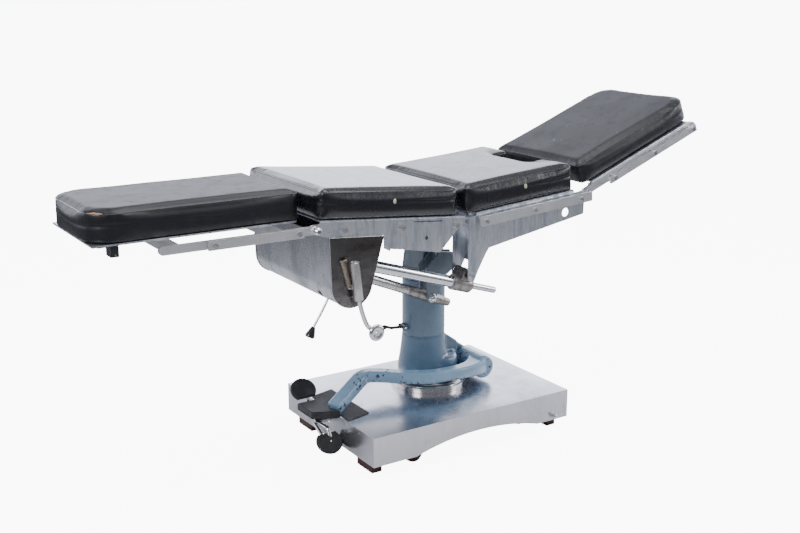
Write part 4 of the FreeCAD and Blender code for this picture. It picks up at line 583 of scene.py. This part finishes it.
# Pump lever: a cast arm that swells into its hub
lever = {"width": 0.048, "height": 0.038, "corner": 0.007, "voxel": 0.0026, "smoothing": 3, "stops": [
    ((0.272, -0.066, 0.208), 1.5, 1.7), ((0.230, -0.096, 0.212), 1.3, 1.3), ((0.178, -0.116, 0.217), 1.08, 1.08),
    ((0.110, -0.124, 0.222), 1, 1), ((0.030, -0.119, 0.225), 1, 1), ((-0.040, -0.080, 0.226), 1, 1),
    ((-0.100, -0.032, 0.228), 1, 1), ((-0.142, -0.008, 0.229), 1, 1), ((-0.168, -0.007, 0.224), 1, 1),
    ((-0.198, -0.019, 0.212), 1, 1), ((-0.304, -0.064, 0.166), 1, 1)],
    "hub": {"at": (0.270, 0.206), "radius": 0.0402, "near": -0.1065, "far": 0.0245, "round": 0.009}}
bm = bmesh.new()
swept(bm, eased(lever["stops"], 4), lever["width"], lever["height"], lever["corner"])
hub = lever["hub"]
r, run, soft = hub["radius"], hub["far"] - hub["near"], hub["round"]
lathe(bm, [(0, 0), (r - soft, 0), (r - soft * 0.3, soft * 0.3), (r, soft), (r, run - 0.001), (r - 0.001, run),
           (0, run)], 64, aimed((hub["at"][0], hub["near"], hub["at"][1]), (0, 1, 0)))
bmesh.ops.recalc_face_normals(bm, faces=bm.faces)
arm = castSkin("pump_arm_shown", bm, lever["voxel"], lever["smoothing"], "pump_lever", "lever")
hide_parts("pump_arm")
print("crank, column and pump lever made")

cushions = {
    "back": {"node": "back_pad", "body": "back_section", "x": (-0.540, -0.046), "half": 0.250,
             "z": (0.1003, 0.1903), "corner": 0.012, "far": 0.012, "vinyl": "backVinyl", "swell": 0.004},
    "seat": {"node": "seat_pad", "body": "seat_section", "x": (0.0, 0.442), "half": 0.250,
             "z": (0.022, 0.112), "corner": 0.012, "far": 0.012, "vinyl": "seatVinyl", "swell": 0.004,
             "notch": (0.072, 0.098)},
    "leg": {"node": "leg_pad", "body": "leg_section", "x": (0.007, 0.562), "half": 0.2295,
            "z": (0.018, 0.096), "corner": 0.012, "far": 0.075, "vinyl": "legVinyl", "swell": 0.005},
    "head": {"node": "head_pad", "body": "head_section", "x": (-0.636, -0.009), "half": 0.1875,
             "z": (0.018, 0.109), "corner": 0.012, "far": 0.085, "vinyl": "headVinyl", "swell": 0.005},
}
shapeOfPad = {"edge": 0.009, "foot": 0.004, "inset": 0.0035, "voxel": 0.008, "pressure": 4.0, "frames": 10,
              "welt": 0.0015, "weltDrop": 0.011}


def padBlank(form):
    x0, x1 = form["x"][0] + shapeOfPad["inset"], form["x"][1] - shapeOfPad["inset"]
    half = form["half"] - shapeOfPad["inset"]
    low, high = form["z"][0], form["z"][1] - shapeOfPad["inset"] * 0.6
    corners = [(x0, -half), (x1, -half), (x1, half), (x0, half)]
    if "notch" in form:
        deep, wide = form["notch"]
        corners = [(x0, -half), (x1, -half), (x1, -wide), (x1 - deep, -wide), (x1 - deep, wide), (x1, wide),
                   (x1, half), (x0, half)]
    bm = bmesh.new()
    face = bm.faces.new([bm.verts.new((x, y, low)) for x, y in corners])
    farX = form["x"][0] if form["x"][0] < -0.6 else form["x"][1]
    farCorners = [v for v in bm.verts if abs(v.co.x - farX) < 0.01]
    nearCorners = [v for v in bm.verts if v not in farCorners]
    for picked, radius in ((farCorners, form["far"]), (nearCorners, form["corner"])):
        bmesh.ops.bevel(bm, geom=picked, offset=radius * 0.999, offset_type="OFFSET", affect="VERTICES",
                        segments=7, profile=0.5, material=-1)
    grown = bmesh.ops.extrude_face_region(bm, geom=list(bm.faces))
    raised = [g for g in grown["geom"] if isinstance(g, bmesh.types.BMVert)]
    bmesh.ops.translate(bm, vec=(0, 0, high - low), verts=raised)
    bmesh.ops.recalc_face_normals(bm, faces=bm.faces)
    for level, radius in ((high, shapeOfPad["edge"]), (low, shapeOfPad["foot"])):
        ringEdges = [e for e in bm.edges if all(abs(v.co.z - level) < 1e-5 for v in e.verts)
                     and e.calc_face_angle(0) > 1]
        bmesh.ops.bevel(bm, geom=ringEdges, offset=radius, offset_type="OFFSET", affect="EDGES", segments=4,
                        profile=0.5, material=-1)
    return bm


def stuffed(name, form):
    bm = padBlank(form)
    mesh = bpy.data.meshes.new(name)
    bm.to_mesh(mesh)
    bm.free()
    pad = bpy.data.objects.new(name, mesh)
    bpy.context.scene.collection.objects.link(pad)
    remesh = pad.modifiers.new("remesh", "REMESH")
    remesh.mode = "VOXEL"
    remesh.voxel_size = shapeOfPad["voxel"]
    applyModifiers(pad)
    rest = [v.co.copy() for v in pad.data.vertices]
    foot = pad.vertex_groups.new(name="foot")
    foot.add([i for i, co in enumerate(rest) if co.z < form["z"][0] + 0.006], 1.0, "REPLACE")
    cloth = pad.modifiers.new("cloth", "CLOTH")
    cloth.settings.vertex_group_mass = "foot"
    cloth.settings.use_pressure = True
    cloth.settings.uniform_pressure_force = shapeOfPad["pressure"]
    cloth.settings.effector_weights.gravity = 0
    cloth.settings.quality = 2
    cloth.point_cache.frame_end = shapeOfPad["frames"]
    for step in range(1, shapeOfPad["frames"] + 1):
        bpy.context.scene.frame_set(step)
    applyModifiers(pad)
    bpy.context.scene.frame_set(1)
    for vertex, start in zip(pad.data.vertices, rest):
        moved = vertex.co - start
        if moved.length > form["swell"]:
            vertex.co = start + moved.normalized() * form["swell"]
    fine = pad.modifiers.new("fine", "SUBSURF")
    fine.levels = fine.render_levels = 1
    applyModifiers(pad)
    return pad


def wrinkle(pad, form, seed):
    low, high = form["z"]
    half = form["half"]
    mid = low + (high - low) * 0.56
    normals = [vertex.normal.copy() for vertex in pad.data.vertices]
    for vertex, normal in zip(pad.data.vertices, normals):
        co = vertex.co
        soft = noise.noise(Vector((co.x * 7 + seed, co.y * 7, co.z * 9))) * 0.0011
        side = 1 - abs(normal.z)
        line = mid + noise.noise(Vector((co.x * 5 + seed, co.y * 5, 3.1))) * 0.012
        dip = math.exp(-((co.z - line) / 0.005) ** 2) * max(0, noise.noise(Vector((co.x * 4, co.y * 4, seed))) + 0.35)
        pull = noise.noise(Vector((co.x * 30, co.y * 30, co.z * 5 + seed))) * 0.0005
        vertex.co = co + normal * (soft * (1 - side * 0.4) - dip * side * 0.0022 + pull * side)
        if abs(co.y) > half + 0.004:
            vertex.co.y = math.copysign(half + 0.004, co.y)


def welt(name, pad, level, body, turnTo):
    bm = bmesh.new()
    bm.from_mesh(pad.data)
    sliced = bmesh.ops.bisect_plane(bm, geom=bm.verts[:] + bm.edges[:] + bm.faces[:], plane_co=(0, 0, level),
                                    plane_no=(0, 0, 1))
    edges = {g for g in sliced["geom_cut"] if isinstance(g, bmesh.types.BMEdge)}
    start = next(iter(sorted(edges, key=lambda e: e.index)))
    line, here, last = [], start.verts[0], start
    while True:
        line.append(here.co.copy())
        onward = [e for e in here.link_edges if e in edges and e != last]
        if not onward:
            break
        last = onward[0]
        here = last.other_vert(here)
        if (here.co - line[0]).length < 1e-6:
            break
    bm.free()
    spread = [line[0]]
    for point in line:
        if (point - spread[-1]).length > 0.006:
            spread.append(point)
    curve = bpy.data.curves.new(name, "CURVE")
    curve.dimensions = "3D"
    curve.bevel_depth = shapeOfPad["welt"]
    curve.bevel_resolution = 2
    spline = curve.splines.new("POLY")
    spline.points.add(len(spread) - 1)
    for target, point in zip(spline.points, spread):
        target.co = (*point, 1)
    spline.use_cyclic_u = True
    carrier = bpy.data.objects.new(name + "Line", curve)
    bpy.context.scene.collection.objects.link(carrier)
    bpy.context.view_layer.update()
    mesh = bpy.data.meshes.new_from_object(carrier.evaluated_get(bpy.context.evaluated_depsgraph_get()))
    bpy.data.objects.remove(carrier)
    piece = bpy.data.objects.new(name, mesh)
    bpy.context.scene.collection.objects.link(piece)
    mesh.transform(turnTo)
    mesh.materials.clear()
    mesh.materials.append(materials["weltVinyl"])
    mesh.shade_smooth()
    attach(piece, body)
    return piece


for seed, (name, form) in enumerate(cushions.items(), start=1):
    pad = stuffed(name + "_cushion", form)
    wrinkle(pad, form, seed * 3.7)
    turnTo = sectionMatrix(name)
    welt(name + "_welt", pad, form["z"][1] - shapeOfPad["weltDrop"], form["body"], turnTo)
    pad.data.transform(turnTo)
    pad.data.materials.clear()
    pad.data.materials.append(materials[form["vinyl"]])
    pad.data.shade_smooth()
    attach(pad, form["body"])
    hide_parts(form["node"])
    print("cushion:", name, len(pad.data.vertices))

buttons = {"back": (-0.2883, 0.1519), "seat": (0.2345, 0.0718)}
buttonShape = {"radius": 0.0065, "top": 0.0052, "wall": 0.004, "edge": 0.0012, "oval": (0.8, 1.25, 1), "proud": 0.0025}
for name, (x, z) in buttons.items():
    bm = bmesh.new()
    bmesh.ops.create_cone(bm, cap_ends=True, segments=20, radius1=buttonShape["radius"],
                          radius2=buttonShape["top"], depth=buttonShape["wall"])
    rim = [e for e in bm.edges if all(v.co.z > 0 for v in e.verts)]
    bmesh.ops.bevel(bm, geom=rim, offset=buttonShape["edge"], offset_type="OFFSET", affect="EDGES", segments=3,
                    profile=0.5, material=-1)
    bmesh.ops.scale(bm, vec=buttonShape["oval"], verts=bm.verts)
    bmesh.ops.rotate(bm, cent=(0, 0, 0), matrix=Matrix.Rotation(math.radians(90), 3, "X"), verts=bm.verts)
    bmesh.ops.translate(bm, vec=(x, -cushions[name]["half"] - buttonShape["proud"], z), verts=bm.verts)
    bmesh.ops.transform(bm, matrix=sectionMatrix(name), verts=bm.verts)
    finishPiece(name + "_button", bm, cushions[name]["body"], "cream")

treadle = {"edge": 0.004, "inset": 0.006, "sheet": 0.0012}
bm = mergedCopy("pump_treadle")
edges = [e for e in bm.edges if e.calc_face_angle(0) > 0.6]
bmesh.ops.bevel(bm, geom=edges, offset=treadle["edge"], offset_type="OFFSET", affect="EDGES", segments=3, profile=0.5,
                material=-1)
tread = finishPiece("pump_treadle_rubber", bm, "pump_lever", "rubber")
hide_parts("pump_treadle")
bm = mergedCopy("pump_treadle")
bmesh.ops.delete(bm, geom=[f for f in bm.faces if f.normal.z < 0.9], context="FACES")
bmesh.ops.inset_region(bm, faces=bm.faces[:], thickness=treadle["inset"], use_boundary=True)
rim = [f for f in bm.faces if any(e.is_boundary for e in f.edges)]
bmesh.ops.delete(bm, geom=rim, context="FACES")
grown = bmesh.ops.extrude_face_region(bm, geom=bm.faces[:])["geom"]
bmesh.ops.translate(bm, vec=(0, 0, treadle["sheet"]), verts=[g for g in grown if isinstance(g, bmesh.types.BMVert)])
bmesh.ops.recalc_face_normals(bm, faces=bm.faces)
finishPiece("pump_treadle_top", bm, "pump_lever", "tread")

# Rocker pads: thick rubber shoes, flat towards the shaft and round outwards
shoes = {"radius": 0.045, "reach": 0.92, "flat": 0.030, "wall": 0.014, "corner": 0.017, "edge": 0.0042,
         "slope": (0.72, 0.69), "at": ((-0.336, 0.0885, 0.1865, 1), (-0.336, -0.0855, 0.0645, -1)),
         "bar": 0.0062, "bars": (-0.3485, -0.3290), "route": ((-0.012, 0.104), (-0.040, 0.092), (-0.078, 0.071))}
bm = bmesh.new()
for x, y, z, side in shoes["at"]:
    shoe = bmesh.new()
    bmesh.ops.create_cone(shoe, cap_ends=True, segments=64, radius1=shoes["radius"], radius2=shoes["radius"],
                          depth=shoes["wall"])
    bmesh.ops.scale(shoe, vec=(1, shoes["reach"], 1), verts=shoe.verts)
    bmesh.ops.bisect_plane(shoe, geom=shoe.verts[:] + shoe.edges[:] + shoe.faces[:], plane_co=(0, -shoes["flat"], 0),
                           plane_no=(0, -1, 0), clear_outer=True)
    bmesh.ops.holes_fill(shoe, edges=[e for e in shoe.edges if e.is_boundary])
    corners = [e for e in shoe.edges if all(abs(v.co.y + shoes["flat"]) < 1e-5 for v in e.verts)
               and abs(e.verts[0].co.z - e.verts[1].co.z) > 0.005]
    bmesh.ops.bevel(shoe, geom=corners, offset=shoes["corner"], offset_type="OFFSET", affect="EDGES", segments=8,
                    profile=0.5, material=-1)
    rims = [e for e in shoe.edges if e.calc_face_angle(0) > 1]
    bmesh.ops.bevel(shoe, geom=rims, offset=shoes["edge"], offset_type="OFFSET", affect="EDGES", segments=4,
                    profile=0.5, material=-1)
    outward = Vector((0, side * shoes["slope"][0], side * shoes["slope"][1])).normalized()
    face = Vector((0, -shoes["slope"][1], shoes["slope"][0])).normalized()
    turn = Matrix((outward.cross(face), outward, face)).transposed().to_4x4()
    bmesh.ops.transform(shoe, matrix=Matrix.Translation((x, y, z)) @ turn, verts=shoe.verts)
    bmesh.ops.recalc_face_normals(shoe, faces=shoe.faces)
    part = bpy.data.meshes.new("shoe")
    shoe.to_mesh(part)
    shoe.free()
    bm.from_mesh(part)
    bpy.data.meshes.remove(part)
caps = finishPiece("rocker_pad_rubbers", bm, "lock_rocker", "rubber")
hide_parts("rocker_pads")
for index, x in enumerate(shoes["bars"], start=1):
    rodPiece(f"rocker_bar_{index}", [(x, y, z) for y, z in shoes["route"]], shoes["bar"], "lock_rocker", "chrome")
print("foot controls made")

bm = bmesh.new()
bmesh.ops.create_grid(bm, x_segments=1, y_segments=1, size=60)
floorMesh = bpy.data.meshes.new("floor")
bm.to_mesh(floorMesh)
bm.free()
floor = bpy.data.objects.new("floor", floorMesh)
bpy.context.scene.collection.objects.link(floor)
# The floor is white to the eye, and in reflections it is a white sweep that ends in a dark room
studio = {"white": 9.0, "sweep": 0.75, "room": 0.16, "near": 1.2, "far": 3.6, "centre": (0.1, 0.3, 0),
          "level": -0.0005}
made, tree, shader, coord = startMaterial("paleFloor")
shader.inputs["Roughness"].default_value = 0.9
shader.inputs["Specular IOR Level"].default_value = 0.0
seen = place(tree, "ShaderNodeLightPath").outputs["Is Camera Ray"]
away = place(tree, "ShaderNodeVectorMath", {"operation": "DISTANCE"}, {0: coord, 1: studio["centre"]}).outputs["Value"]
paper = place(tree, "ShaderNodeMapRange", {"interpolation_type": "SMOOTHSTEP"},
              {"Value": away, "From Min": studio["near"], "From Max": studio["far"],
               "To Min": studio["sweep"], "To Max": studio["room"]}).outputs[0]
shown = place(tree, "ShaderNodeMath", {"operation": "MAXIMUM"}, {0: paper, 1: seen}).outputs[0]
tree.links.new(tint(tree, shown, (0, 0, 0), (0.93, 0.93, 0.94)), shader.inputs["Base Color"])
tree.links.new(between(tree, seen, 0.0, studio["white"]), shader.inputs["Emission Strength"])
shader.inputs["Emission Color"].default_value = (1, 1, 1, 1)
floorMesh.materials.append(made)
floor.location.z = studio["level"]

world = bpy.data.worlds.new("studio")
world.use_nodes = True
sky = world.node_tree
# Reflections find a bright backdrop low behind the table, a grey ceiling and a dark camera side
backdrop = {"way": (0.54, 0.84, 0.0), "low": 0.36, "high": 0.62, "bright": 3.0, "ceiling": 0.42, "front": 0.30,
            "rise": (0.2, 0.85), "turn": (-0.45, 0.35), "white": 9.9}
way = place(sky, "ShaderNodeTexCoord").outputs["Generated"]
aim = place(sky, "ShaderNodeVectorMath", {"operation": "DOT_PRODUCT"}, {0: way, 1: backdrop["way"]}).outputs["Value"]
height = place(sky, "ShaderNodeSeparateXYZ", None, {0: way}).outputs["Z"]
wall = place(sky, "ShaderNodeMapRange", {"interpolation_type": "SMOOTHSTEP"},
             {"Value": height, "From Min": backdrop["low"], "From Max": backdrop["high"],
              "To Min": backdrop["bright"], "To Max": backdrop["ceiling"]}).outputs[0]
front = place(sky, "ShaderNodeMapRange", {"interpolation_type": "SMOOTHSTEP"},
              {"Value": height, "From Min": backdrop["rise"][0], "From Max": backdrop["rise"][1],
               "To Min": backdrop["front"], "To Max": backdrop["ceiling"]}).outputs[0]
facing = place(sky, "ShaderNodeMapRange", {"interpolation_type": "SMOOTHSTEP"},
               {"Value": aim, "From Min": backdrop["turn"][0], "From Max": backdrop["turn"][1]}).outputs[0]
level = place(sky, "ShaderNodeMix", None, {0: facing, 2: front, 3: wall}).outputs[0]
seen = place(sky, "ShaderNodeLightPath").outputs["Is Camera Ray"]
lit = place(sky, "ShaderNodeMix", None, {0: seen, 2: level, 3: backdrop["white"]}).outputs[0]
sky.links.new(lit, sky.nodes["Background"].inputs[1])
sky.nodes["Background"].inputs[0].default_value = (0.87, 0.9, 1, 1)
bpy.context.scene.world = world

lamps = {
    "overhead": {"at": (0.2, -0.4, 3.4), "to": (0.1, 0, 0.6), "size": 2.6, "power": 75},
    "left": {"at": (-3.4, -1.4, 2.4), "to": (0, 0, 0.7), "size": 1.4, "power": 55},
    "right": {"at": (3.0, -2.2, 2.2), "to": (0.1, 0, 0.6), "size": 0.9, "power": 26},
}
for name, lamp in lamps.items():
    light = bpy.data.lights.new(name, "AREA")
    light.energy = lamp["power"]
    light.size = lamp["size"]
    light.shape = "SQUARE"
    holder = bpy.data.objects.new(name, light)
    holder.location = lamp["at"]
    holder.rotation_euler = (Vector(lamp["to"]) - Vector(lamp["at"])).to_track_quat("-Z", "Y").to_euler()
    bpy.context.scene.collection.objects.link(holder)

view = {"at": (-1.93872, -3.00218, 1.51864), "tilt": 90 - 14.6823, "turn": -32.7104, "lens": 50}
lensData = bpy.data.cameras.new("camera")
lensData.lens = view["lens"]
lensData.sensor_width = 36
lensData.clip_end = 200
camera = bpy.data.objects.new("camera", lensData)
camera.location = view["at"]
camera.rotation_euler = (math.radians(view["tilt"]), 0, math.radians(view["turn"]))
bpy.context.scene.collection.objects.link(camera)
bpy.context.scene.camera = camera
